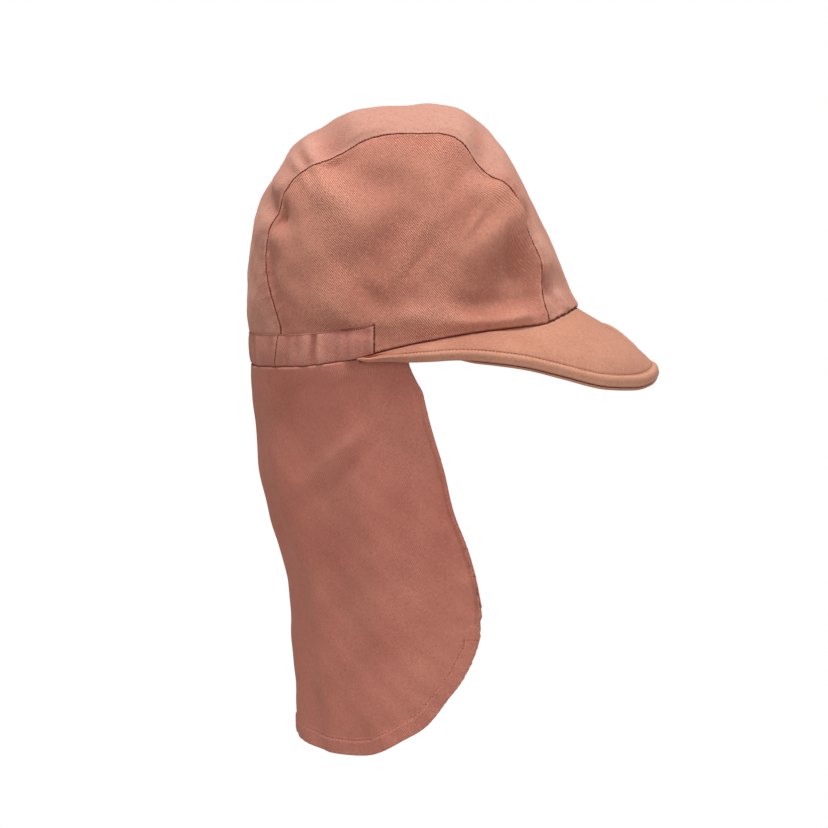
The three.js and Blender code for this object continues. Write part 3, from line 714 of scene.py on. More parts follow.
# Painted shade (negative) and painted light on the strip beside the flanks of its folds: turn, share across,
# long and wide, and how much.
STRIP_PAINTED_SHADES = [
    (111.0, -0.55, 4.6, 0.42, -1.15), (118.0, -0.7, 1.5, 0.4, 0.35), (120.8, -0.75, 1.1, 0.34, -0.8),
    (123.2, -0.8, 1.0, 0.34, 0.35), (125.4, -0.8, 1.1, 0.32, -0.8), (135.0, -0.65, 3.0, 0.46, -1.2),
    (140.2, -0.62, 1.6, 0.4, 0.6), (71.5, -0.62, 2.2, 0.4, -0.8), (64.0, -0.5, 3.0, 0.44, 0.35),
    (49.5, -0.7, 1.8, 0.36, -0.8), (38.0, -0.72, 1.6, 0.36, 0.5), (24.5, -0.74, 3.0, 0.4, -0.75),
    (17.5, -0.7, 1.6, 0.36, 0.5), (152.0, -0.6, 3.0, 0.5, -0.3), (172.0, -0.6, 9.0, 0.7, -0.35),
]
# Streaks beside the front of the right seam, in the side view, as in the tables of the folds.
FRONT_STREAKS = [
    ("first dark streak", 0.775, 0.27, 0.13, 0.02, -66, -0.4),
    ("first light streak", 0.815, 0.25, 0.12, 0.018, -66, 0.4),
    ("second dark streak", 0.86, 0.165, 0.085, 0.016, -60, -0.36),
    ("second light streak", 0.89, 0.15, 0.075, 0.016, -58, 0.36),
    ("upper streak", 0.73, 0.44, 0.1, 0.022, -66, 0.3),
]


def sum_of_spots(turn, share, rows):
    """A sum of soft spots on the strip: high * exp(-(turn / long)^2 - (share / wide)^2)."""
    height = np.zeros_like(turn)
    for spot_turn, place, length, width, high in rows:
        height += high * np.exp(-(((turn - spot_turn) / length) ** 2) - ((share - place) / width) ** 2)
    return height


even = np.linspace(-1, 1, CENTRE_ACROSS + 1)
shares = np.sign(even) * (1 - (1 - np.abs(even)) ** CENTRE_CROWDING)
smooth = lines_over_top(shares, -SHOWN_GAP / 2, CENTRE_STEPS)
centre_border = np.concatenate([smooth[::-1, 0], smooth[0, 1:], smooth[1:, -1]])
distance, along = nearest_on_line(smooth, centre_border)
turns = turn_of(smooth[..., 0], smooth[..., 2])
streaks = FOLD_DEPTH * hills(smooth, FRONT_STREAKS)
on_right = smoothstep(-smooth[..., 1], *STREAK_FADE)
creases = sum_of_spots(turns, shares, STRIP_CREASES) + streaks * on_right
height = SIDE_UNEVENNESS * unevenness(smooth) + seam_profile(distance, along) + seam_waves(smooth)
height += creases * smoothstep(distance, *CREASE_FADE)
# A painted highlight makes the strip's top paler, the table of patches paints shade and light, and the streaks
# get painted shade in their hollows and paler, rubbed ridges.
strip_wear = TOP_HIGHLIGHT * smoothstep(smooth[..., 2], *TOP_HIGHLIGHT_RISE) + sum_of_spots(turns, shares, STRIP_PAINTED_SHADES)
strip_wear += wear(streaks) * on_right
points = panel_cloth(smooth, height)
over = length_along(smooth)
crown_centre = mesh_piece(
    "crown_centre", points, grid_faces(*distance.shape), np.stack([over, smooth[..., 1]], axis=-1),
    CLOTH_WALL, "crown_twill", from_edge=distance, along_edge=along, wear=strip_wear)
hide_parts("centre_panel")

# %% [markdown]
# ## The elastic casing
# The back of the hem is folded up over an elastic band and topstitched, so it stands out a little and
# gathers. The side seams of the crown run down through it. It is a band of two parameters, the way round
# and the share of its height, that bulges between its stitched top and its folded lower edge.

# %% The band round the back
CASING_STEPS = 640
CASING_ROWS = 34
CASING_CROWDING = 1.25
CASING_WALL = 2.2
CASING_PUFF = 0.8
# Millimetres of casing for each radian round.
CASING_RADIUS = 80.0
GATHER_DEPTH = 0.50
GATHER_STEP = 9.5
# The share of the gathers that swells with the casing, and the share that runs on to near its top.
GATHERS_IN_SWELL = 0.7
GATHERS_AT_TOP = 0.25
GATHERS_END = 3.0
# The stitches run at this share of the casing's height.
CASING_LINE = 0.97
CASING_LINE_WIDTH = 0.8
FOLD_ROUND = 0.4
CASING_SEAM = 0.5
CASING_END_SHIFT = 0.2
# The needle's holes show only beside the casing's ends: degrees round, and a distance that hides them.
TICKS_END = (118.0, 124.0)
NEEDLE_FADE = 1.2
# The crown's seams run down the casing, in turns over the top, a little nearer the middle than above it.
CASING_SEAM_TURNS = np.linspace(168, 196, 60)
SEAM_JOG = 1.3
# How strongly the casing's creases are painted: darker in their hollows, a painted shade, and paler on their
# rubbed ridges.
CASING_SHADE_AND_WEAR = 1.6
# On the far side the creases are a little weaker and some degrees further on.
FAR_CREASES = 0.8
FAR_CREASE_SHIFT = 4.0
# Creases that the photo shows across the near side: degrees round, width in degrees, and depth.
CASING_CREASES = [
    (131.2, 1.3, -1.9), (128.8, 1.3, 0.9), (134.6, 2.4, 0.9), (121.0, 1.3, -0.4), (143.0, 2.0, -0.3),
    (153.0, 1.6, -0.3), (159.0, 2.2, 0.3), (165.0, 1.6, -0.35), (172.0, 2.4, 0.25),
]


def casing_crease(way_round):
    """The creases of the near side, and the same ones shifted on the far side."""
    fold = np.zeros_like(way_round)
    for place, width, deep in CASING_CREASES:
        fold += deep * np.exp(-(((360 - way_round - place) / width) ** 2))
        fold += FAR_CREASES * deep * np.exp(-(((way_round - place - FAR_CREASE_SHIFT) / width) ** 2))
    return fold


rounds = np.linspace(CASING_END, 360 - CASING_END, CASING_STEPS + 1)
from_front = 180 - np.abs(rounds - 180)
up = (1 - (1 - np.linspace(0, 1, CASING_ROWS + 1)) ** CASING_CROWDING)[:, None]
heights = hem_height(from_front) * (1 - up) + (casing_top(from_front) - SHOWN_GAP / 2) * up
smooth = round_side(np.broadcast_to(rounds, heights.shape), heights)
around = np.radians(rounds) * CASING_RADIUS * np.ones_like(heights)
above_hem = heights - hem_height(from_front)
below_top = casing_top(from_front) - SHOWN_GAP / 2 - heights
from_end = np.minimum(rounds - CASING_END, 360 - CASING_END - rounds) * math.radians(1) * HALF_WIDTH
seam_places = seam_half(CASING_SEAM_TURNS) - SEAM_JOG
to_seam = np.minimum(*(nearest_on_line(smooth, over_top(CASING_SEAM_TURNS, side * seam_places))[0]
                       for side in (-1, 1)))
swell = np.sin(np.pi * up**0.85) ** 0.7
gathers = GATHER_DEPTH * ripples(around, GATHER_STEP, 0.3)
gathers += casing_crease(np.broadcast_to(rounds, heights.shape))
height = swell * (CASING_PUFF + GATHERS_IN_SWELL * gathers)
height += GATHERS_AT_TOP * gathers * smoothstep(below_top, 0, GATHERS_END)
height += fold_height(smooth) + CASING_SEAM * seam_profile(np.minimum(to_seam, from_end), above_hem)
fold_depth = np.clip(1 - above_hem / FOLD_ROUND, 0, 1)
height -= FOLD_ROUND * (1 - np.sqrt(1 - fold_depth**2))
height -= CASING_DIP * np.exp(-((below_top / CASING_LINE_WIDTH) ** 2))
points = raised(smooth, height)
hidden_behind = NEEDLE_FADE * smoothstep(from_front, *TICKS_END)
edge_distance = np.minimum(np.minimum(from_end + CASING_END_SHIFT, to_seam), below_top + hidden_behind)
line_row = int(np.argmin(np.abs(up[:, 0] - CASING_LINE)))
casing_line = points[line_row, 3:-3]
casing_normals = surface_normals(points)[line_row, 3:-3]
from_line, along_line = nearest_on_line(points, casing_line)
# The casing's last value paints its creases: painted shade in the hollows, paler rubbed ridges.
elastic_casing = mesh_piece(
    "elastic_casing", points, grid_faces(*heights.shape), np.stack([around, heights], axis=-1),
    CASING_WALL, "casing_twill", from_edge=edge_distance, along_edge=above_hem + around,
    from_stitch=from_line + hidden_behind, along_stitch=along_line, wear=CASING_SHADE_AND_WEAR * wear(gathers))
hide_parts("back_casing")

# %% [markdown]
# ## The peak
# Two covers of twill over a thin soft filling, turned and topstitched 5.5 mm inside the edge. The stitching
# sinks, and outside it the edge swells to a soft roll. The upper cover is one surface from the hem to the
# edge, whose last rows turn down and under. The lower cover shows as a thin lip below it.

# %% The peak's surface
PEAK_REACH = 44.5
PEAK_DROP = 40.0
PEAK_BULGE = 4.2
PEAK_ROLL = 1.2
PEAK_COVER = 1.4
PEAK_END = 112.0
BULGE_FADE = 0.45
# Degrees round, out as a share of the reach, down as a share of the drop.
PEAK_EDGE = [
    (0, 1.0, 0.885), (9, 0.95, 0.96), (17, 0.885, 0.975), (26, 0.81, 0.895), (37, 0.725, 0.725),
    (46, 0.635, 0.585), (53, 0.54, 0.475), (63, 0.42, 0.37), (75, 0.29, 0.275), (83, 0.22, 0.235),
    (92, 0.145, 0.18), (100, 0.09, 0.115), (112, 0.045, 0.03),
]
# The peak is bent. Degrees round, negative to the right, how much higher the edge lies as a share of the
# drop, and what share of the bulge is left.
PEAK_BEND = [
    (-30, 0, 1), (-14, 0, 0.9), (-5, 0, 0.68), (0, 0.015, 0.5), (9, 0.17, 0.15), (17, 0.44, 0),
    (26, 0.65, 0), (37, 0.6, 0.1), (46, 0.45, 0.3), (53, 0.33, 0.45), (63, 0.17, 0.7), (75, 0.05, 0.9),
    (86, 0, 1),
]


def peak_point(way_round, share):
    """A point of the peak's upper face: a straight line from hem to edge, lifted at 45 degrees by
    bulge * sin(pi * share) * (1 + roll * share^2)."""
    hem = worn_point(round_side(way_round, hem_height(way_round)))
    hem = hem - crown_normal(hem) * CROWN_WALL / 2 - np.array([0, 0, SEAM_GAP])
    outward = outward_at(way_round)
    out, down = (smooth_curve(PEAK_EDGE, np.abs(way_round), True, column) for column in (1, 2))
    down = down - smooth_curve(PEAK_BEND, way_round)
    full = smooth_curve(PEAK_BEND, way_round, column=2)
    edge = hem + outward * (CROWN_WALL / 2 + PEAK_REACH * out)[..., None]
    edge = edge - np.array([0, 0, 1.0]) * (PEAK_DROP * down)[..., None]
    bulge = PEAK_BULGE * out**BULGE_FADE * full * np.sin(np.pi * share) * (1 + PEAK_ROLL * share**2)
    lift = unit(outward + np.array([0, 0, 1.0]))
    share = share[..., None]
    return hem * (1 - share) + edge * share + lift * bulge[..., None]


# %% Grids of the peak
PEAK_STEPS = 500
PEAK_ROWS = 62
ROLL_ROWS = 12
PEAK_CROWDING = 1.5
PEAK_WALL = 0.9
TOPSTITCH_INSET = 5.5
TOPSTITCH_SINK = 0.42
TOPSTITCH_WIDTH = 0.9
RIM_SWELL = 1.1
ROLL_TURN = 105.0
ROLL_ROUND = 0.8
# The cover is thinner within this distance of its ends, and the rim is smaller where the peak is narrow.
COVER_TAPER = 14.0
COVER_END = 0.6
RIM_FULL_WIDTH = 14.0
RIM_LEAST = 0.15
# Size, wavelength and phase of the rim's puckers, a share of the swell, and of the waves inside it.
RIM_PUCKERS = (0.05, 13.0, 0.8)
RIM_WAVES = (0.12, 17.0, 2.0)
RIM_WAVES_REACH = 7.0
PEAK_UNEVENNESS = 0.35
PEAK_CALM = (2.0, 9.0)
# How far the lower cover stands out in front, and how much of it a painted line sets off from the rim.
UNDER_OUT = 1.3
LIP_SHOWN = 0.6
TAIL_START = 68.0
TAIL_END = 94.0
TAIL_TUCK = 0.3
TAIL_SHORTER = 0.45
TAIL_LOWER = 1.4
TAIL_LOWER_END = 6.0
# Darker towards the tails, from degrees to degrees. A painted highlight on the lower cover's lip and on the
# rim, less of it on the rim's far part, from degrees to degrees.
TAIL_DARKER_ROUNDS = (30.0, 100.0)
TAIL_DARKENING = 0.9
UNDER_LIP_HIGHLIGHT = 0.5
RIM_HIGHLIGHT = 0.9
RIM_HIGHLIGHT_EDGE = 0.4
FAR_RIM = 0.6
FAR_RIM_FROM = (-10.0, 6.0)
STITCH_ENDS = slice(40, -40)


def line_at_inset(grid, insets, inset):
    """The line on a grid whose rows have falling insets, where the inset has one value: the row is found
    for each column and the point lies between two rows."""
    columns = np.arange(grid.shape[1])
    row = np.clip((insets > inset).sum(axis=0) - 1, 0, grid.shape[0] - 2)
    above = insets[row, columns]
    below = insets[row + 1, columns]
    part = np.clip((above - inset) / np.maximum(above - below, 1e-6), 0, 1)[:, None]
    return grid[row, columns] * (1 - part) + grid[row + 1, columns] * part


def peak_grid(rows, steps, crowding, is_upper):
    """The peak's rounds and shares, and the base surface on that grid. At the tails the upper cover reaches
    a little lower, and the lower one ends sooner and hides behind it."""
    way_round = np.linspace(-PEAK_END, PEAK_END, steps + 1)
    share = 1 - (1 - np.linspace(0, 1, rows + 1)) ** crowding
    way_round, share = np.meshgrid(way_round, share)
    tail = smoothstep(np.abs(way_round), TAIL_START, TAIL_END)
    if not is_upper:
        return way_round, share, peak_point(way_round, share * (1 - TAIL_SHORTER * tail))
    base = peak_point(way_round, share)
    base[..., 2] -= TAIL_LOWER * tail * share * smoothstep(PEAK_END - np.abs(way_round), 0, TAIL_LOWER_END)
    return way_round, share, base


def wave(along, size, wavelength, phase):
    """Uneven little waves along a line, between -size and size."""
    return size * ripples(along, wavelength, phase)


def peak_cover(rows, steps, below, cover, is_upper):
    """A cover's outer face, its distances from the edge and its normals. The last rows leave the edge's
    circle, whose radius is the cover's thickness, outwards and then down and under."""
    way_round, share, base = peak_grid(rows, steps, PEAK_CROWDING, is_upper)
    normals = surface_normals(base)
    normals *= np.sign((normals * outward_at(way_round, up=1.0)).sum(axis=-1, keepdims=True))
    inwards = length_along(base[::-1])[::-1]
    width = inwards[0]
    taper = smoothstep(PEAK_END - np.abs(way_round), 0, COVER_TAPER)
    thickness = (COVER_END + (cover - COVER_END) * taper)[0]
    rim_scale = np.clip(width / RIM_FULL_WIDTH, RIM_LEAST, 1.0)
    around_edge = length_along(base[-1])
    tail = smoothstep(np.abs(way_round), TAIL_START, TAIL_END)
    height = -below * (1 - TAIL_TUCK * tail)
    if is_upper:
        inset = TOPSTITCH_INSET * rim_scale
        swell = np.clip((inset - inwards) / inset, 0, 1)
        puckers = 1 + wave(around_edge, *RIM_PUCKERS)
        height += rim_scale * RIM_SWELL * np.sin(np.pi * swell**0.8) * puckers
        height -= rim_scale * TOPSTITCH_SINK * np.exp(-(((inwards - inset) / TOPSTITCH_WIDTH) ** 2))
        height += PEAK_UNEVENNESS * unevenness(base) * smoothstep(inwards, *PEAK_CALM)
        height += rim_scale * wave(around_edge, *RIM_WAVES) * np.exp(-share * width / RIM_WAVES_REACH)
    face = base + normals * height[..., None]
    outwards = unit(base[-1] - base[-2])
    turn = np.linspace(0, math.radians(ROLL_TURN), ROLL_ROWS + 1)[1:]
    radius = (ROLL_ROUND * thickness)[None, :, None]
    roll_out = outwards * radius * np.sin(turn)[:, None, None]
    roll_down = -normals[-1] * radius * (1 - np.cos(turn))[:, None, None]
    drawn_back = radius[0] if is_upper else radius[0] - UNDER_OUT * (1 - tail[0])[:, None]
    face = face - outwards * drawn_back * smoothstep(share, 0.6, 1.0)[..., None]
    points = np.concatenate([face, face[-1] + roll_out + roll_down])
    past_edge = -radius[..., 0] * turn[:, None]
    return points, np.concatenate([inwards, past_edge]), normals


def flat_map(points):
    """The cover laid flat: from its place on the hem each point goes straight out, as far as the cloth is
    long."""
    length = length_along(points)
    angle = np.arctan2(points[0, :, 1], points[0, :, 0])
    outward = np.stack([np.cos(angle), np.sin(angle)], axis=-1)
    return points[0, :, :2] + outward * length[..., None]


def tail_wear(steps):
    """How much darker the peak is towards the tails, for each step round."""
    return TAIL_DARKENING * smoothstep(np.abs(np.linspace(-PEAK_END, PEAK_END, steps + 1)), *TAIL_DARKER_ROUNDS)


points, inwards, peak_normals = peak_cover(PEAK_ROWS, PEAK_STEPS, 0.0, PEAK_COVER, True)
rim_scale = np.clip(inwards[0] / RIM_FULL_WIDTH, RIM_LEAST, 1.0)
peak_rows = slice(PEAK_ROWS + 1)
peak_line = line_at_inset(points[peak_rows], inwards[peak_rows] / rim_scale, TOPSTITCH_INSET)[STITCH_ENDS]
from_line, along_line = nearest_on_line(points, peak_line)
hem_distance, hem_along = nearest_on_line(points, points[0])
# The rim gets a painted highlight, less of it on its far part, and the peak is darker towards its tails.
on_rim = smoothstep(TOPSTITCH_INSET * rim_scale - inwards, -RIM_HIGHLIGHT_EDGE, RIM_HIGHLIGHT_EDGE)
far = smoothstep(np.linspace(-PEAK_END, PEAK_END, PEAK_STEPS + 1), *FAR_RIM_FROM)
peak_wear = RIM_HIGHLIGHT * (1 - FAR_RIM * far) * on_rim - tail_wear(PEAK_STEPS)
peak_upper = mesh_piece(
    "peak_upper", points, grid_faces(*inwards.shape, flipped=True), flat_map(points), PEAK_WALL, "peak_twill",
    from_edge=hem_distance, along_edge=hem_along, from_stitch=from_line, along_stitch=along_line,
    wear=peak_wear)
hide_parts("peak_top")
line_normals = peak_normals[PEAK_ROWS * 2 // 3][STITCH_ENDS]

# %% The lower cover
LOWER_ROWS = 36
LOWER_STEPS = 360
LOWER_COVER = 1.1
# It has no row of stitches, so every point of it lies this far from one.
NO_STITCH = 20.0
# The lower cover's lip gets a painted highlight, and the cover is darker towards its tails.
points, inwards, _ = peak_cover(LOWER_ROWS, LOWER_STEPS, PEAK_COVER + 2 * SEAM_GAP, LOWER_COVER, False)
peak_lower = mesh_piece(
    "peak_lower", points, grid_faces(*inwards.shape, flipped=True), flat_map(points), LOWER_COVER,
    "peak_twill", from_edge=np.maximum(LIP_SHOWN - inwards, 0), along_edge=0 * inwards,
    from_stitch=0 * inwards + NO_STITCH, wear=0 * inwards + UNDER_LIP_HIGHLIGHT - tail_wear(LOWER_STEPS))
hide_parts("peak_under")

# %% [markdown]
# ## The neck flap
# One cloth hangs from the hem behind the ears. It leaves the crown's curve and falls as a wide U, with soft
# folds, and its free edge is turned to an 8 mm hem. A sheet that hangs still is easier to draw than to
# simulate: the surface is a function of the way round and the height, and folds are added along it.

# %% The flap's sizes and tables
FLAP_DROP = 205.0
FLAP_START = 92.0
FLAP_TUCK = 5.5
FLAP_TUCK_END = 121.0
FLAP_RELEASE = 0.05
FLAP_HALF_WIDTH = HALF_WIDTH - CROWN_WALL - FLAP_TUCK
FLAP_FOLD_DEPTH = 3.0
FLAP_FOLD_START = 0.3
FLAP_HEM = 8.0
# The flap's outer face starts this far outside the crown's inner face, where it has no tuck.
FLAP_FROM_HEM = 1.3
# The two front edges don't hang alike: down as a share of the drop, and how far forward the near one hangs
# in millimetres. The far one hangs further back.
NEAR_EDGE_FORWARD = [
    (-0.03, 0), (-0.01, 0.8), (0.02, 3.4), (0.05, 4.0), (0.09, 3.2), (0.14, 2.4), (0.26, 2.1), (0.37, 1.2),
    (0.46, 1.6), (0.6, 1.7), (0.68, 1.4), (0.8, 0.0), (1, 0.0),
]
FAR_EDGE_BACK = 6.0
HEM_CORNER = 2.0
LEAST_INSET = 0.08
HEM_TOP = 0.69
NARROW_HEM = 2.5
# Down as a share of the drop, and the back and front edges as shares of half the crown's length.
FLAP_SIDE = [
    (0.00, -0.977, -0.035), (0.15, -0.96, 0.085), (0.25, -0.936, 0.155), (0.36, -0.885, 0.225),
    (0.47, -0.818, 0.315), (0.58, -0.752, 0.375), (0.63, -0.738, 0.395), (0.7, -0.73, 0.425),
    (1.00, -0.69, 0.43),
]
# The lower edge: 0 at the back and 1 at a front edge, and the share of the drop.
FLAP_EDGE = [
    (0, 0.965), (0.12, 0.978), (0.26, 0.99), (0.43, 0.999), (0.55, 1.0), (0.65, 0.988), (0.74, 0.954),
    (0.84, 0.9), (0.89, 0.845), (0.936, 0.79), (0.965, 0.735), (0.985, 0.68), (1, 0.6),
]
# The source's large folds: share from the back, lean, width and depth.
FLAP_FOLDS = [
    (0.1, 0.22, 0.1, -0.8), (0.32, 0.1, 0.09, 0.6), (0.55, -0.06, 0.1, -0.6), (0.78, -0.1, 0.09, 0.7),
]
# Finer folds of the right side, in the side view: along as a share of half the crown's length, down, long
# and wide as shares of the drop, tilt in degrees, depth in millimetres.
FLAP_CREASES = [
    (-0.86, 0.15, 0.1, 0.05, 62, -1.9), (-0.74, 0.07, 0.1, 0.04, 40, -1.3),
    (-0.6, 0.05, 0.09, 0.026, 34, 1.1), (-0.56, 0.26, 0.1, 0.026, 40, 1.0),
    (-0.4, 0.2, 0.1, 0.022, 46, 1.3), (-0.46, 0.27, 0.1, 0.024, 42, -1.0),
    (-0.16, 0.24, 0.1, 0.028, 62, -0.8), (-0.1, 0.48, 0.24, 0.04, 88, -0.9),
    (0.04, 0.5, 0.24, 0.035, 86, 0.9), (0.16, 0.42, 0.22, 0.04, 75, -0.8),
    (-0.3, 0.6, 0.3, 0.05, 84, 0.7), (-0.5, 0.62, 0.3, 0.045, 86, -0.6),
    (-0.22, 0.06, 0.06, 0.018, 62, 0.7), (-0.12, 0.05, 0.06, 0.018, 74, -0.8),
    (0.26, 0.66, 0.14, 0.04, 60, 0.7), (0.02, 0.08, 0.06, 0.02, 80, 0.7),
    (0.36, 0.58, 0.06, 0.024, 70, -0.8), (0.05, 0.84, 0.2, 0.06, 30, 0.8),
]
# The same folds on the left side, weaker and further forward.
LEFT_FLAP_CREASES = 0.7
LEFT_CREASE_SHIFT = 9.0

# %% The flap's surface
def flap_point(share, z):
    """A point of the flap. A rounded U of the power n, from the back edge to the front edge, is met from the
    crown's hem within a small share of the drop, and folds push it outwards."""
    side = np.where(share < 0, -1.0, 1.0)
    from_back = np.minimum(np.abs(share), 1.0)
    down = (-HALF_RISE - z) / FLAP_DROP
    corner = np.radians(90 * from_back)
    back = HALF_LENGTH * smooth_curve(FLAP_SIDE, down)
    front = HALF_LENGTH * smooth_curve(FLAP_SIDE, down, column=2) - FAR_EDGE_BACK * (side > 0)
    toward_back = np.maximum(np.cos(corner), 0) ** (2 / FULLNESS)
    hanging = np.stack([front + (back - front) * toward_back,
                        side * FLAP_HALF_WIDTH * np.sin(corner) ** (2 / FULLNESS), z], axis=-1)
    way_round = side * (180 - from_back * (180 - FLAP_START))
    crown = round_side(way_round, np.maximum(z, -HALF_RISE))
    tuck = FLAP_TUCK * (1 - smoothstep(np.abs(way_round), PEAK_END, FLAP_TUCK_END))
    crown = crown - crown_normal(crown) * (CROWN_WALL - FLAP_FROM_HEM + tuck)[..., None]
    crown[..., 2] = z
    release = smoothstep(down, 0, FLAP_RELEASE)[..., None]
    point = crown * (1 - release) + hanging * release
    fold = np.zeros_like(z)
    for place, lean, wide, deep in FLAP_FOLDS:
        fold += deep * np.exp(-(((from_back - place - lean * down) / wide) ** 2))
    amount = FLAP_FOLD_DEPTH * fold * smoothstep(down, 0, FLAP_FOLD_START)
    point[..., 0] += smooth_curve(NEAR_EDGE_FORWARD, down) * from_back**3 * (side < 0)
    return point + outward_at(way_round) * amount[..., None]


def flap_creases(points):
    """The finer folds: hills in the side view, weaker and shifted on the left side."""
    height = np.zeros(points.shape[:-1])
    down = (-HALF_RISE - points[..., 2]) / FLAP_DROP
    is_left = points[..., 1] > 0
    for along, place, length, width, tilt, deep in FLAP_CREASES:
        x = (points[..., 0] - along * HALF_LENGTH - np.where(is_left, LEFT_CREASE_SHIFT, 0.0)) / FLAP_DROP
        y = place - down
        angle = math.radians(tilt)
        lengthwise = (x * math.cos(angle) + y * math.sin(angle)) / length
        sideways = (y * math.cos(angle) - x * math.sin(angle)) / width
        height += deep * np.exp(-(lengthwise**2) - sideways**2)
    return height * np.where(is_left, LEFT_FLAP_CREASES, 1.0)


# %% A line inside a free edge
def nearest_corner(flat, places):
    """Which point of a list lies nearest to each place."""
    return np.argmin((flat**2).sum(-1) - 2 * places @ flat.T, axis=1)


def line_inside(edge, grid, normals, inset):
    """The line that runs a fixed distance inside a free edge, on the cloth, and its normals. Each point of
    the edge moves square to the edge and to the normal, less and less at both ends, so that the line comes
    back to the edge, and is then dropped onto the nearest cloth."""
    flat = grid.reshape(-1, 3)
    flat_normals = normals.reshape(-1, 3)
    direction = unit(np.gradient(edge, axis=0))
    normal = flat_normals[nearest_corner(flat, edge)]
    inward = unit(np.cross(direction, normal))
    inward *= np.sign(((flat.mean(axis=0) - edge) * inward).sum())
    along = length_along(edge)
    from_end = np.minimum(along, along[-1] - along)
    moved = edge + inward * (inset * np.clip(from_end / HEM_CORNER, LEAST_INSET, 1))[:, None]
    corner = nearest_corner(flat, moved)
    normal = flat_normals[corner]
    height = ((moved - flat[corner]) * normal).sum(-1, keepdims=True)
    return moved - normal * height, normal


# %% The flap's cloth
FLAP_STEPS = 264
FLAP_ROWS = 168
FLAP_WALL = 0.8
FLAP_HEM_WALL = 1.5
# How strongly the flap's creases are painted: darker in their hollows, a painted shade, and paler on their
# rubbed ridges.
FLAP_SHADE_AND_WEAR = 1.2
FLAP_CROWDING = (1.5, 1.15)
FLAP_UNEVENNESS = 1.6
# Millimetres below the hem between which the folds begin.
FLAP_CALM = (1.0, 14.0)
# Size, wavelength, phase, and how far in from the free edge the waves reach.
EDGE_WAVES = [(0.30, 16.0, 0.5, 12.0), (0.25, 5.0, 1.1, 4.0)]
SEAM_SINK = 0.10
SEAM_SINK_WIDTH = 0.8
# The wall's thickness changes to the folded hem's over this distance, in this many steps.
HEM_EDGE = 0.5
WALL_STEPS = 4
even = np.linspace(-1, 1, FLAP_STEPS + 1)
shares = np.sign(even) * (1 - (1 - np.abs(even)) ** FLAP_CROWDING[0])
flap_rounds = 180 - np.abs(shares) * (180 - FLAP_START)
top = hem_height(flap_rounds) - SHOWN_GAP
bottom = -HALF_RISE - FLAP_DROP * smooth_curve(FLAP_EDGE, np.abs(shares), level_at_first=True)
down = np.linspace(0, 1, FLAP_ROWS + 1)[:, None]
heights = top + (bottom - top) * (1 - (1 - down) ** FLAP_CROWDING[1])
base = flap_point(np.broadcast_to(shares, heights.shape), heights)
normals = -surface_normals(base)
free_edge = np.concatenate([base[:, 0], base[-1, 1:-1], base[::-1, -1]])
to_free_edge, along_edge = nearest_on_line(base, free_edge)
is_hemmed = bottom < -HALF_RISE - HEM_TOP * FLAP_DROP
to_hem, _ = nearest_on_line(base, base[-1][is_hemmed])
below_hem = top - heights
calm_at_top = smoothstep(below_hem, *FLAP_CALM)
creases = flap_creases(base) * calm_at_top
height = creases + FLAP_UNEVENNESS * unevenness(base) * calm_at_top
for size, wavelength, phase, spread in EDGE_WAVES:
    height += wave(along_edge, size, wavelength, phase) * np.exp(-to_free_edge / spread) * calm_at_top
height -= SEAM_SINK * np.exp(-((below_hem / SEAM_SINK_WIDTH) ** 2))
points = base + normals * height[..., None]
around = length_along(base, axis=1)
around -= around[:, FLAP_STEPS // 2:FLAP_STEPS // 2 + 1]
flap_line, flap_line_normals = line_inside(points[-1][is_hemmed], points, -surface_normals(points), FLAP_HEM)
from_line, along_line = nearest_on_line(points, flap_line)
# The flap's last value paints its creases: painted shade in the hollows, paler rubbed ridges.
flap_cloth = mesh_piece(
    "flap_cloth", points, grid_faces(*heights.shape, flipped=True), np.stack([around, heights], axis=-1),
    FLAP_HEM_WALL, "flap_twill", from_edge=below_hem, along_edge=around, from_stitch=from_line,
    along_stitch=along_line, from_border=to_hem, wear=FLAP_SHADE_AND_WEAR * wear(creases))
folded = np.maximum(smoothstep(-to_hem, -FLAP_HEM - HEM_EDGE, HEM_EDGE - FLAP_HEM),
                    smoothstep(-to_free_edge, -NARROW_HEM - HEM_EDGE, HEM_EDGE - NARROW_HEM))
single = FLAP_WALL / FLAP_HEM_WALL
weight = single + (1 - single) * np.round(folded * WALL_STEPS) / WALL_STEPS
thickness_group = flap_cloth.vertex_groups.new(name="thickness")
for share_of_wall in np.unique(weight):
    has_share = np.flatnonzero(weight.ravel() == share_of_wall)
    thickness_group.add(has_share.tolist(), float(share_of_wall), "REPLACE")
flap_cloth.modifiers["wall"].vertex_group = "thickness"
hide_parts("neck_flap")


# %% The flap is a hung sheet
def sheet_size(grid):
    """A sheet's greatest width and length along its rows and columns, and its area, in metres."""
    steps_across = np.linalg.norm(np.diff(grid, axis=1), axis=-1).sum(axis=1)
    steps_down = np.linalg.norm(np.diff(grid, axis=0), axis=-1).sum(axis=0)
    diagonals = np.cross(grid[1:, 1:] - grid[:-1, :-1], grid[1:, :-1] - grid[:-1, 1:])
    area = np.linalg.norm(diagonals, axis=-1).sum() / 2
    return steps_across.max() * MM, steps_down.max() * MM, area * MM * MM


flap_width, flap_length, flap_area = sheet_size(points)
print(f"flap: {flap_width:.3f} x {flap_length:.3f} m flat, {flap_area:.4f} square metres")

# %% [markdown]
# ## Topstitching
# A row of stitches is a row of short pieces of thread that dive into the cloth at both ends. Each is a small
# closed tube of 40 faces, thick in the middle, and the whole row is one mesh, worked out at once from the
# places, directions and normals of a line on the cloth.

# %% A row of stitches
STITCH_STEP = 1.9
STITCH_LENGTH = 1.55
CASING_STITCH_STEP = 1.25
THREAD_RADIUS = 0.25
THREAD_SIDES = 6
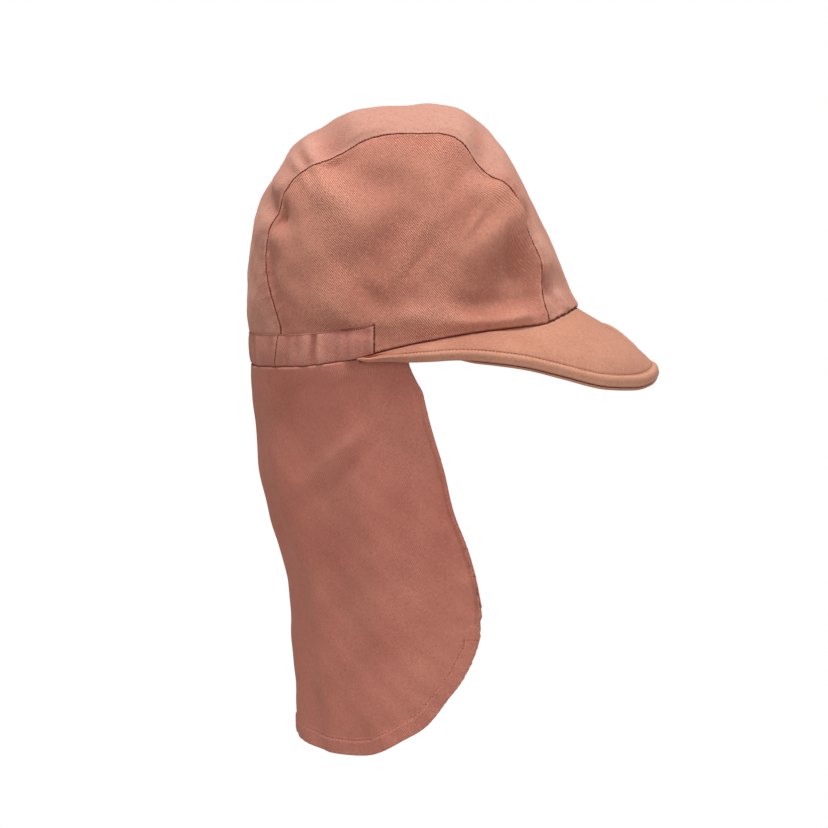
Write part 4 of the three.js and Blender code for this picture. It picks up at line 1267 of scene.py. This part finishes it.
# Places of the rings along half a stitch each way, and the thread's thickness there as a share.
STITCH_RINGS = np.array([-1.0, -0.82, -0.42, 0.0, 0.42, 0.82, 1.0])
STITCH_WIDTHS = np.array([0.35, 0.8, 1.0, 1.0, 1.0, 0.8, 0.35])
STITCH_DIVE = 1.5
# Directions are measured over this much line each way, in millimetres.
LINE_STEP = 0.3
# The flap's row of stitches leaves out this many points of its line at each end.
FLAP_LINE_ENDS = slice(12, -12)


def even_places(line, normals, step):
    """Places at an even step along a line, with their directions and normals."""
    along = length_along(line)
    at = np.arange(step / 2, along[-1], step)

    def value_at(where, values):
        return np.stack([np.interp(where, along, values[:, axis]) for axis in range(3)], axis=-1)

    direction = unit(value_at(at + LINE_STEP, line) - value_at(at - LINE_STEP, line))
    return value_at(at, line), direction, unit(value_at(at, normals))


def stitch_row(name, line, normals, step, proud, slot):
    """A mesh of stitches. Each ring lies at a place along the stitch, its radius shrinks to the ends, and
    it sinks with the square of the distance from its middle, which stands proud by a share of the radius."""
    place, direction, up = even_places(line, normals, step)
    side = np.cross(up, direction)
    sink = THREAD_RADIUS * (proud - STITCH_DIVE * STITCH_RINGS**2)
    turns = np.linspace(0, 2 * np.pi, THREAD_SIDES, endpoint=False)
    widths = STITCH_WIDTHS * THREAD_RADIUS
    along = (STITCH_RINGS * step * STITCH_LENGTH / STITCH_STEP / 2)[None, :, None, None]
    sideways = (widths[:, None] * np.cos(turns))[None, :, :, None]
    upwards = (widths[:, None] * np.sin(turns) + sink[:, None])[None, :, :, None]
    points = (place[:, None, None] + direction[:, None, None] * along + side[:, None, None] * sideways
              + up[:, None, None] * upwards)
    ring, turn = np.meshgrid(np.arange(len(STITCH_RINGS) - 1), np.arange(THREAD_SIDES), indexing="ij")
    here = ring * THREAD_SIDES
    there = here + THREAD_SIDES
    after = (turn + 1) % THREAD_SIDES
    tube = np.stack([here + turn, there + turn, there + after, here + after], axis=-1)
    caps = np.array([[0, 1, 2, 3], [0, 3, 4, 5], [39, 38, 37, 36], [41, 40, 39, 36]])
    one = np.concatenate([tube.reshape(-1, 4), caps])
    corners = len(STITCH_RINGS) * THREAD_SIDES
    faces = (one[None] + corners * np.arange(len(place))[:, None, None]).reshape(-1, 4)
    lengthwise = np.broadcast_to(STITCH_RINGS[None, :, None], points.shape[:3])
    uv = np.stack([lengthwise, np.broadcast_to(turns[None, None], points.shape[:3])], axis=-1)
    return mesh_piece(name, points, faces, uv, 0.0, slot)


# %% The three rows
peak_topstitch = stitch_row("peak_topstitch", peak_line, line_normals, STITCH_STEP, 0.7, "peak_twill")
casing_topstitch = stitch_row(
    "casing_topstitch", casing_line, casing_normals, CASING_STITCH_STEP, 0.1, "casing_twill")
flap_topstitch = stitch_row("flap_topstitch", flap_line[FLAP_LINE_ENDS], flap_line_normals[FLAP_LINE_ENDS],
                            STITCH_STEP, 0.0, "flap_twill")

# %% [markdown]
# ## The weave
# Cotton twill shows as fine slanted ridges, each made of short floats of thread. Two sines give it: one
# across the ridges, one along them, on coordinates that a little noise bends, because no thread is
# straight. The group puts out a height for the bump and a tone for the colour.

# %% Nodes in few words
class Value:
    """A number, vector or colour in a node tree. Sums and products of numbers become Math nodes."""

    def __init__(self, socket):
        self.socket = socket
        self.tree = socket.id_data

    def __add__(self, other):
        return calculate("ADD", self, other)

    def __sub__(self, other):
        return calculate("SUBTRACT", self, other)

    def __rsub__(self, other):
        return calculate("SUBTRACT", other, self)

    def __mul__(self, other):
        return calculate("MULTIPLY", self, other)

    def __truediv__(self, other):
        return calculate("DIVIDE", self, other)


def wire(value, socket):
    """Links a value or a socket, or sets the socket where it is a plain number or colour."""
    value = getattr(value, "socket", value)
    if isinstance(value, bpy.types.NodeSocket):
        socket.id_data.links.new(value, socket)
    else:
        socket.default_value = value


def calculate(operation, *values, clamp=False):
    """A Math node with its inputs, in the tree of the first value."""
    tree = next(value.tree for value in values if isinstance(value, Value))
    node = tree.nodes.new("ShaderNodeMath")
    node.operation = operation
    node.use_clamp = clamp
    for value, socket in zip(values, node.inputs):
        wire(value, socket)
    return Value(node.outputs[0])


def remap(value, low, high, to_low, to_high):
    """A smooth Map Range node."""
    node = value.tree.nodes.new("ShaderNodeMapRange")
    node.interpolation_type = "SMOOTHSTEP"
    for item, socket in zip((value, low, high, to_low, to_high), node.inputs):
        wire(item, socket)
    return Value(node.outputs["Result"])


def noise(vector, scale, detail):
    """A Noise Texture's value."""
    node = vector.tree.nodes.new("ShaderNodeTexNoise")
    wire(vector, node.inputs["Vector"])
    wire(scale, node.inputs["Scale"])
    node.inputs["Detail"].default_value = detail
    return Value(node.outputs[0])


def mix_colour(blend, factor, first, second):
    """A Mix node for colours."""
    node = factor.tree.nodes.new("ShaderNodeMix")
    node.data_type = "RGBA"
    node.blend_type = blend
    wire(factor, node.inputs[0])
    wire(first, node.inputs[6])
    wire(second, node.inputs[7])
    return Value(node.outputs[2])


def new_group(name, inputs, outputs):
    """An empty shader node group with named sockets, the values given to it and the sockets it puts out."""
    group = bpy.data.node_groups.new(name, "ShaderNodeTree")
    for sockets, direction in ((inputs, "INPUT"), (outputs, "OUTPUT")):
        for socket_name, kind in sockets:
            group.interface.new_socket(socket_name, in_out=direction, socket_type=kind)
    given = {socket.name: Value(socket) for socket in group.nodes.new("NodeGroupInput").outputs}
    return group, given, group.nodes.new("NodeGroupOutput").inputs


NUMBER, VECTOR, COLOUR = "NodeSocketFloat", "NodeSocketVector", "NodeSocketColor"
COLOUR_AND_HEIGHT = [("Colour", COLOUR), ("Height", NUMBER)]

# %% Twill
FULL_TURN = 2 * math.pi
# Scales of noise are turns per metre: how the threads waver, and their fibres.
WAVER_SCALE = 110.0
WAVER = 1.3
FIBRE_SCALE = 1300.0
RIDGE = 0.30
FLOAT = 0.20
# How often the floats repeat along and across a ridge, for each ridge.
FLOATS_ALONG = 1.15
FLOATS_ACROSS = 0.5
weave_group, given, put_out = new_group(
    "twill weave", [("Cloth", VECTOR), ("Pitch", NUMBER), ("Slant", NUMBER)],
    [("Height", NUMBER), ("Tone", NUMBER)])
turned = weave_group.nodes.new("ShaderNodeVectorRotate")
turned.rotation_type = "Z_AXIS"
wire(given["Cloth"], turned.inputs["Vector"])
wire(given["Slant"], turned.inputs["Angle"])
parted = weave_group.nodes.new("ShaderNodeSeparateXYZ")
wire(turned.outputs[0], parted.inputs[0])
waver = (noise(given["Cloth"], WAVER_SCALE, 2.0) - 0.5) * WAVER
across = Value(parted.outputs[0]) / given["Pitch"] + waver
along = Value(parted.outputs[1]) / given["Pitch"]
ridge = calculate("SINE", across * FULL_TURN)
floats = calculate("SINE", along * (FLOATS_ALONG * FULL_TURN) + across * (FLOATS_ACROSS * FULL_TURN))
woven = ridge * RIDGE + floats * FLOAT
wire(woven + 0.5, put_out["Height"])
wire(woven + noise(given["Cloth"], FIBRE_SCALE, 2.0), put_out["Tone"])
print("twill weave:", len(weave_group.nodes), "nodes")

# %% [markdown]
# ## The dye and painted light
# Piece-dyed cotton is never one flat colour: broad patches take the dye a little differently, and single
# threads are paler or redder. Ridges are painted paler, partly rubbed and partly a painted highlight, and
# hollows darker, a painted shade. Cloth at a seam or beside stitches gets a painted shade where it turns
# away. Three groups give these: dye, seam shade and needle marks.

# %% Dye and painted light
PALENESS_SHARE = 0.65
PATCH_SCALE = 24.0
PATCHES = 0.35
FLECK_SCALE = 620.0
CLEAR_SCALE = 30.0
dye_and_light_group, given, put_out = new_group(
    "uneven dye and painted light", [("Base", COLOUR), ("Pale", COLOUR), ("Deep", COLOUR), ("Place", VECTOR), ("Tone", NUMBER),
                   ("Weave contrast", NUMBER), ("Wear", NUMBER)], [("Colour", COLOUR)])
patches = remap(noise(given["Place"], PATCH_SCALE, 3.0), 0.35, 0.65, 0.0, 1.0)
flecks = noise(given["Place"], FLECK_SCALE, 2.0)
# Above zero the paleness mixes towards the pale colour, for rubbed ridges and painted highlights; below zero it
# mixes towards the deep colour, a painted shade.
lightened = calculate("MULTIPLY", given["Wear"], PALENESS_SHARE, clamp=True)
darkened = calculate("MULTIPLY", given["Wear"], -PALENESS_SHARE, clamp=True)
dyed = mix_colour("MIX", darkened, mix_colour("MIX", lightened, given["Base"], given["Pale"]), given["Deep"])
dyed = mix_colour("MIX", patches * PATCHES, dyed, given["Pale"])
dyed = mix_colour("MIX", remap(flecks, 0.50, 0.72, 0.0, 0.28), dyed, given["Deep"])
dyed = mix_colour("MIX", remap(flecks, 0.46, 0.28, 0.0, 0.35), dyed, given["Pale"])
clear = remap(noise(given["Place"], CLEAR_SCALE, 2.0), 0.36, 0.60, 0.55, 1.15)
shaded = dye_and_light_group.nodes.new("ShaderNodeHueSaturation")
wire(dyed, shaded.inputs["Color"])
wire((given["Tone"] - 0.5) * (given["Weave contrast"] * clear) + 1.0, shaded.inputs["Value"])
wire(shaded.outputs[0], put_out["Colour"])

# %% Seam shade
SEAM_STITCH = 1.7
SEAM_TICK = 0.35
LIP_AT = 2.2
SEAM_SHADE_TINT = (0.55, 0.42, 0.40, 1.0)
SEAM_LIP_HIGHLIGHT = (0.75, 0.50, 0.40, 1.0)
seam_group, given, put_out = new_group(
    "seam shade", [("Colour", COLOUR), ("Distance", NUMBER), ("Along", NUMBER), ("Width", NUMBER),
                   ("Line", COLOUR)], COLOUR_AND_HEIGHT)
stitch_wave = calculate("SINE", given["Along"] * (FULL_TURN / SEAM_STITCH))
line_width = given["Width"] * (stitch_wave * SEAM_TICK + 1.0)
line_mask = remap(given["Distance"], line_width * 0.4, line_width, 1.0, 0.0)
from_lip = calculate("ABSOLUTE", given["Distance"] - given["Width"] * LIP_AT)
# Within 6 mm of the seam the cloth is painted darker, a painted shade, and the lip beside it gets a painted
# highlight.
near = remap(given["Distance"], 0.0, 6.0, 0.12, 0.0)
beside = mix_colour("MULTIPLY", near, given["Colour"], SEAM_SHADE_TINT)
beside = mix_colour("SCREEN", remap(from_lip, 0.0, 0.9, 0.10, 0.0), beside, SEAM_LIP_HIGHLIGHT)
wire(mix_colour("MIX", line_mask, beside, given["Line"]), put_out["Colour"])
wire(line_mask * -1.0, put_out["Height"])

# %% Needle marks
GROOVE_SHADE = 0.25
GROOVE_WIDTH = 0.9
GROOVE_SHADE_TINT = (0.72, 0.58, 0.53, 1.0)
HOLE_DEPTH = -0.6
needle_group, given, put_out = new_group(
    "needle marks", [("Colour", COLOUR), ("Distance", NUMBER), ("Along", NUMBER), ("Step", NUMBER),
                     ("Line", COLOUR), ("Strength", NUMBER), ("Hole", NUMBER)], COLOUR_AND_HEIGHT)
phase = calculate("FRACT", given["Along"] / given["Step"])
to_hole = calculate("MINIMUM", phase, 1.0 - phase) * given["Step"]
reach = calculate("SQRT", calculate("POWER", to_hole, 2.0) + calculate("POWER", given["Distance"], 2.0))
hole = remap(reach, given["Hole"] * 0.35, given["Hole"], 1.0, 0.0)
groove = remap(given["Distance"], 0.0, GROOVE_WIDTH, 1.0, 0.0)
# The groove beside the stitches is painted darker, a painted shade.
marked = mix_colour("MULTIPLY", groove * GROOVE_SHADE, given["Colour"], GROOVE_SHADE_TINT)
wire(mix_colour("MIX", hole * given["Strength"], marked, given["Line"]), put_out["Colour"])
wire(hole * HOLE_DEPTH - groove, put_out["Height"])

# %% [markdown]
# ## The cloth's finishes
# The five twills are alike, so one function builds them, each with its own colours, weave direction and
# lines. A dry cotton surface is rough, with a faint sheen from its loose fibres. The weave, the seams and
# the needle marks reach the surface through bump nodes.

# %% Twill finish
def linear(red, green, blue):
    """A colour of the screen (0 to 255) as the linear colour that a shader takes."""
    share = np.array([red, green, blue]) / 255
    value = np.where(share <= 0.04045, share / 12.92, ((share + 0.055) / 1.055) ** 2.4)
    return (*value.tolist(), 1.0)


SEAM_COLOUR = linear(138, 46, 24)
SHEEN_TINT = linear(240, 186, 166)
WEAVE_PITCH = 0.90
WEAVE_RELIEF = 0.10
LINE_RELIEF = 0.35
FIBRE_RELIEF = 0.05
BORDER_TURN = 62.0
BORDER_CONTRAST = 0.75
BORDER_EDGE = 0.2


def read_attribute(tree, name):
    """A value that the mesh keeps for each point."""
    node = tree.nodes.new("ShaderNodeAttribute")
    node.attribute_name = name
    return Value(node.outputs["Fac"])


def place_group(tree, group, **values):
    """A node group in a material with its values, named by their sockets with _ for a space."""
    node = tree.nodes.new("ShaderNodeGroup")
    node.node_tree = group
    for name, value in values.items():
        wire(value, node.inputs[name.replace("_", " ")])
    return {socket.name: Value(socket) for socket in node.outputs}


def bump(height, distance, strength, normal=None):
    """A Bump node over another normal."""
    node = height.tree.nodes.new("ShaderNodeBump")
    node.inputs["Distance"].default_value = distance * MM
    node.inputs["Strength"].default_value = strength
    wire(height, node.inputs["Height"])
    if normal is not None:
        wire(normal, node.inputs["Normal"])
    return Value(node.outputs[0])


def new_material(name):
    """A material, its node tree, its Principled node and the UV map that lies on the cloth."""
    material = bpy.data.materials.new(name)
    material.use_nodes = True
    tree = material.node_tree
    cloth = tree.nodes.new("ShaderNodeUVMap")
    cloth.uv_map = "cloth"
    return material, tree, tree.nodes["Principled BSDF"], Value(cloth.outputs[0])


def twill_finish(name, base, pale, deep, slant, contrast, seam_width=0.58, stitch_step=None,
                 needle_strength=0.8, border=None, is_worn=False, hole=0.48, sheen=0.22):
    """The material of one piece of twill. In a border, which is folded back, the weave runs another way."""
    material, tree, surface, cloth = new_material(name)
    place = Value(tree.nodes.new("ShaderNodeTexCoord").outputs["Object"])
    weave_turn = math.radians(slant)
    weave_contrast = contrast
    if border:
        border_line = (read_attribute(tree, "from_border"), border - BORDER_EDGE, border + BORDER_EDGE)
        weave_turn = remap(*border_line, math.radians(slant + BORDER_TURN), math.radians(slant))
        weave_contrast = remap(*border_line, BORDER_CONTRAST, contrast)
    weave = place_group(tree, weave_group, Cloth=cloth, Pitch=WEAVE_PITCH * MM, Slant=weave_turn)
    weave_height = weave["Height"]
    if is_worn:
        weave_contrast = read_attribute(tree, "weave_clear") * contrast
        weave_height = read_attribute(tree, "weave_clear") * weave_height
    dye = place_group(tree, dye_and_light_group, Base=linear(*base), Pale=linear(*pale), Deep=linear(*deep),
                      Place=place, Tone=weave["Tone"], Weave_contrast=weave_contrast,
                      Wear=read_attribute(tree, "wear"))
    seam = place_group(tree, seam_group, Colour=dye["Colour"], Distance=read_attribute(tree, "from_edge"),
                       Along=read_attribute(tree, "along_edge"), Width=seam_width, Line=SEAM_COLOUR)
    colour = seam["Colour"]
    normal = bump(seam["Height"], LINE_RELIEF, 0.8)
    if stitch_step:
        needle = place_group(tree, needle_group, Colour=colour, Distance=read_attribute(tree, "from_stitch"),
                             Along=read_attribute(tree, "along_stitch"), Step=stitch_step, Line=SEAM_COLOUR,
                             Strength=needle_strength, Hole=hole)
        colour = needle["Colour"]
        normal = bump(needle["Height"], LINE_RELIEF, needle_strength, normal)
    normal = bump(weave_height, WEAVE_RELIEF, min(1.0, 0.3 + contrast), normal)
    normal = bump(noise(place, 900.0, 3.0), FIBRE_RELIEF, 0.35, normal)
    wire(colour, surface.inputs["Base Color"])
    wire(normal, surface.inputs["Normal"])
    wire(remap(weave["Tone"], 0.2, 0.9, 0.95, 0.82), surface.inputs["Roughness"])
    surface.inputs["Sheen Weight"].default_value = sheen
    surface.inputs["Sheen Tint"].default_value = SHEEN_TINT
    surface.inputs["Sheen Roughness"].default_value = 0.55
    surface.inputs["Specular IOR Level"].default_value = 0.15
    return material


# %% Thread finish
def thread_of(name, pale, deep):
    """A thread: two colours twisted round each other."""
    material, tree, surface, along_thread = new_material(name)
    strand = tree.nodes.new("ShaderNodeTexWave")
    strand.bands_direction = "DIAGONAL"
    strand.inputs["Scale"].default_value = 900.0
    strand.inputs["Distortion"].default_value = 0.6
    wire(along_thread, strand.inputs["Vector"])
    twist = Value(strand.outputs["Fac"])
    wire(mix_colour("MIX", twist, linear(*pale), linear(*deep)), surface.inputs["Base Color"])
    wire(bump(twist, FIBRE_RELIEF, 0.6), surface.inputs["Normal"])
    surface.inputs["Roughness"].default_value = 0.7
    surface.inputs["Sheen Weight"].default_value = 0.2
    surface.inputs["Sheen Tint"].default_value = SHEEN_TINT
    return material


# %% Which piece has which finish
# Each with its base, pale and deep colour, and a twill also with its slant in degrees and its contrast.
finishes = [
    # The crown's sides have a slightly darker base than the centre strip of the same cloth, a painted shade.
    (twill_finish("crown twill", (178, 116, 98), (200, 141, 120), (143, 83, 69), -38, 1.20, is_worn=True),
     [crown_side_right, crown_side_left]),
    (twill_finish("centre twill", (184, 123, 107), (203, 157, 139), (150, 89, 76), 58, 0.15, sheen=0.42),
     [crown_centre]),
    (twill_finish("casing twill", (184, 120, 106), (204, 146, 128), (150, 86, 74), -38, 0.55, seam_width=0.45,
                  stitch_step=CASING_STITCH_STEP, needle_strength=1.0, hole=0.80), [elastic_casing]),
    (twill_finish("peak twill", (184, 128, 105), (212, 157, 131), (158, 98, 80), 60, 0.14,
                  stitch_step=STITCH_STEP), [peak_upper, peak_lower]),
    (twill_finish("flap twill", (190, 119, 103), (202, 136, 118), (168, 99, 85), -38, 0.28, seam_width=0.32,
                  stitch_step=STITCH_STEP, needle_strength=0.6, border=FLAP_HEM), [flap_cloth]),
    (thread_of("pale thread", (226, 172, 146), (200, 140, 114)), [peak_topstitch]),
    (thread_of("casing thread", (182, 120, 102), (150, 88, 72)), [casing_topstitch]),
    (thread_of("flap thread", (168, 104, 88), (138, 78, 64)), [flap_topstitch]),
]
for finish, pieces in finishes:
    for piece in pieces:
        piece.data.materials.append(finish)
print(f"{len(finishes)} finishes")

# %% [markdown]
# ## Floor and light
# The photo has a white ground and soft light from above. The floor is a wide grey plane well under the cap,
# and the sky is brighter from above than from below. The camera itself sees both as plain white. A soft lamp
# overhead gives the folds their shape, and two weaker ones brighten the near side and the front.

# %% What the camera sees
def camera_sees(tree, shown, otherwise):
    """One shader for the camera's own rays, and another for the light that bounces."""
    mixed = tree.nodes.new("ShaderNodeMixShader")
    wire(tree.nodes.new("ShaderNodeLightPath").outputs["Is Camera Ray"], mixed.inputs["Fac"])
    tree.links.new(otherwise.outputs[0], mixed.inputs[1])
    tree.links.new(shown.outputs[0], mixed.inputs[2])
    return mixed.outputs[0]


# %% The floor
FLOOR_HEIGHT = -360.0
FLOOR_HALF = 9000.0
corners = np.array([[-1, -1, 0], [1, -1, 0], [1, 1, 0], [-1, 1, 0]]) * FLOOR_HALF
corners[:, 2] = FLOOR_HEIGHT
floor_mesh = bpy.data.meshes.new("floor")
floor_mesh.from_pydata(corners * MM, [], [(0, 1, 2, 3)])
floor = bpy.data.objects.new("floor", floor_mesh)
scene.collection.objects.link(floor)
floor_finish = bpy.data.materials.new("pale floor")
floor_finish.use_nodes = True
floor_surface = floor_finish.node_tree.nodes["Principled BSDF"]
floor_surface.inputs["Base Color"].default_value = (0.42, 0.40, 0.39, 1.0)
floor_surface.inputs["Roughness"].default_value = 0.9
tree = floor_finish.node_tree
plain_white = tree.nodes.new("ShaderNodeEmission")
seen = camera_sees(tree, plain_white, floor_surface)
tree.links.new(seen, tree.nodes["Material Output"].inputs["Surface"])
floor_mesh.materials.append(floor_finish)
floor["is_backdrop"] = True

# %% Sky and lamps
world = bpy.data.worlds.new("studio")
scene.world = world
world.use_nodes = True
tree = world.node_tree
tree.nodes.clear()
upwards = tree.nodes.new("ShaderNodeSeparateXYZ")
wire(tree.nodes.new("ShaderNodeTexCoord").outputs["Generated"], upwards.inputs[0])
brightness = remap(Value(upwards.outputs["Z"]), -0.3, 0.9, 0.15, 0.50)
sky = tree.nodes.new("ShaderNodeBackground")
sky.inputs["Color"].default_value = (1.0, 0.985, 0.97, 1.0)
wire(brightness, sky.inputs["Strength"])
white = tree.nodes.new("ShaderNodeBackground")
white.inputs["Color"].default_value = (1.0, 1.0, 1.0, 1.0)
white.inputs["Strength"].default_value = 1.0
world_output = tree.nodes.new("ShaderNodeOutputWorld")
tree.links.new(camera_sees(tree, white, sky), world_output.inputs["Surface"])


def soft_lamp(name, place, aim, size, power):
    """A square area lamp at a place, in metres, that points at another."""
    lamp_data = bpy.data.lights.new(name, "AREA")
    lamp_data.size = size
    lamp_data.energy = power
    lamp = bpy.data.objects.new(name, lamp_data)
    scene.collection.objects.link(lamp)
    towards = np.array(aim) - np.array(place)
    length = float(np.linalg.norm(towards))
    lamp.location = place
    level_turn = math.atan2(towards[0], -towards[1]) + math.pi
    lamp.rotation_euler = (math.acos(-towards[2] / length), 0.0, level_turn)


soft_lamp("key lamp", (-0.1, -0.40, 1.90), (0.0, 0.0, 0.0), 0.45, 29.0)
soft_lamp("side lamp", (-0.5, -2.0, 0.3), (0.0, 0.0, -0.1), 1.0, 9.5)
soft_lamp("front lamp", (1.5, -1.0, 0.9), (0.0, 0.0, -0.1), 0.4, 8.5)
scene.view_settings.view_transform = "Standard"

# %% Sizes and the end
cap_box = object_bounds()
for label, box in (("solids", solid_box), ("cap", cap_box)):
    print(label, [round(value * 1000, 1) for corner in box for value in corner])
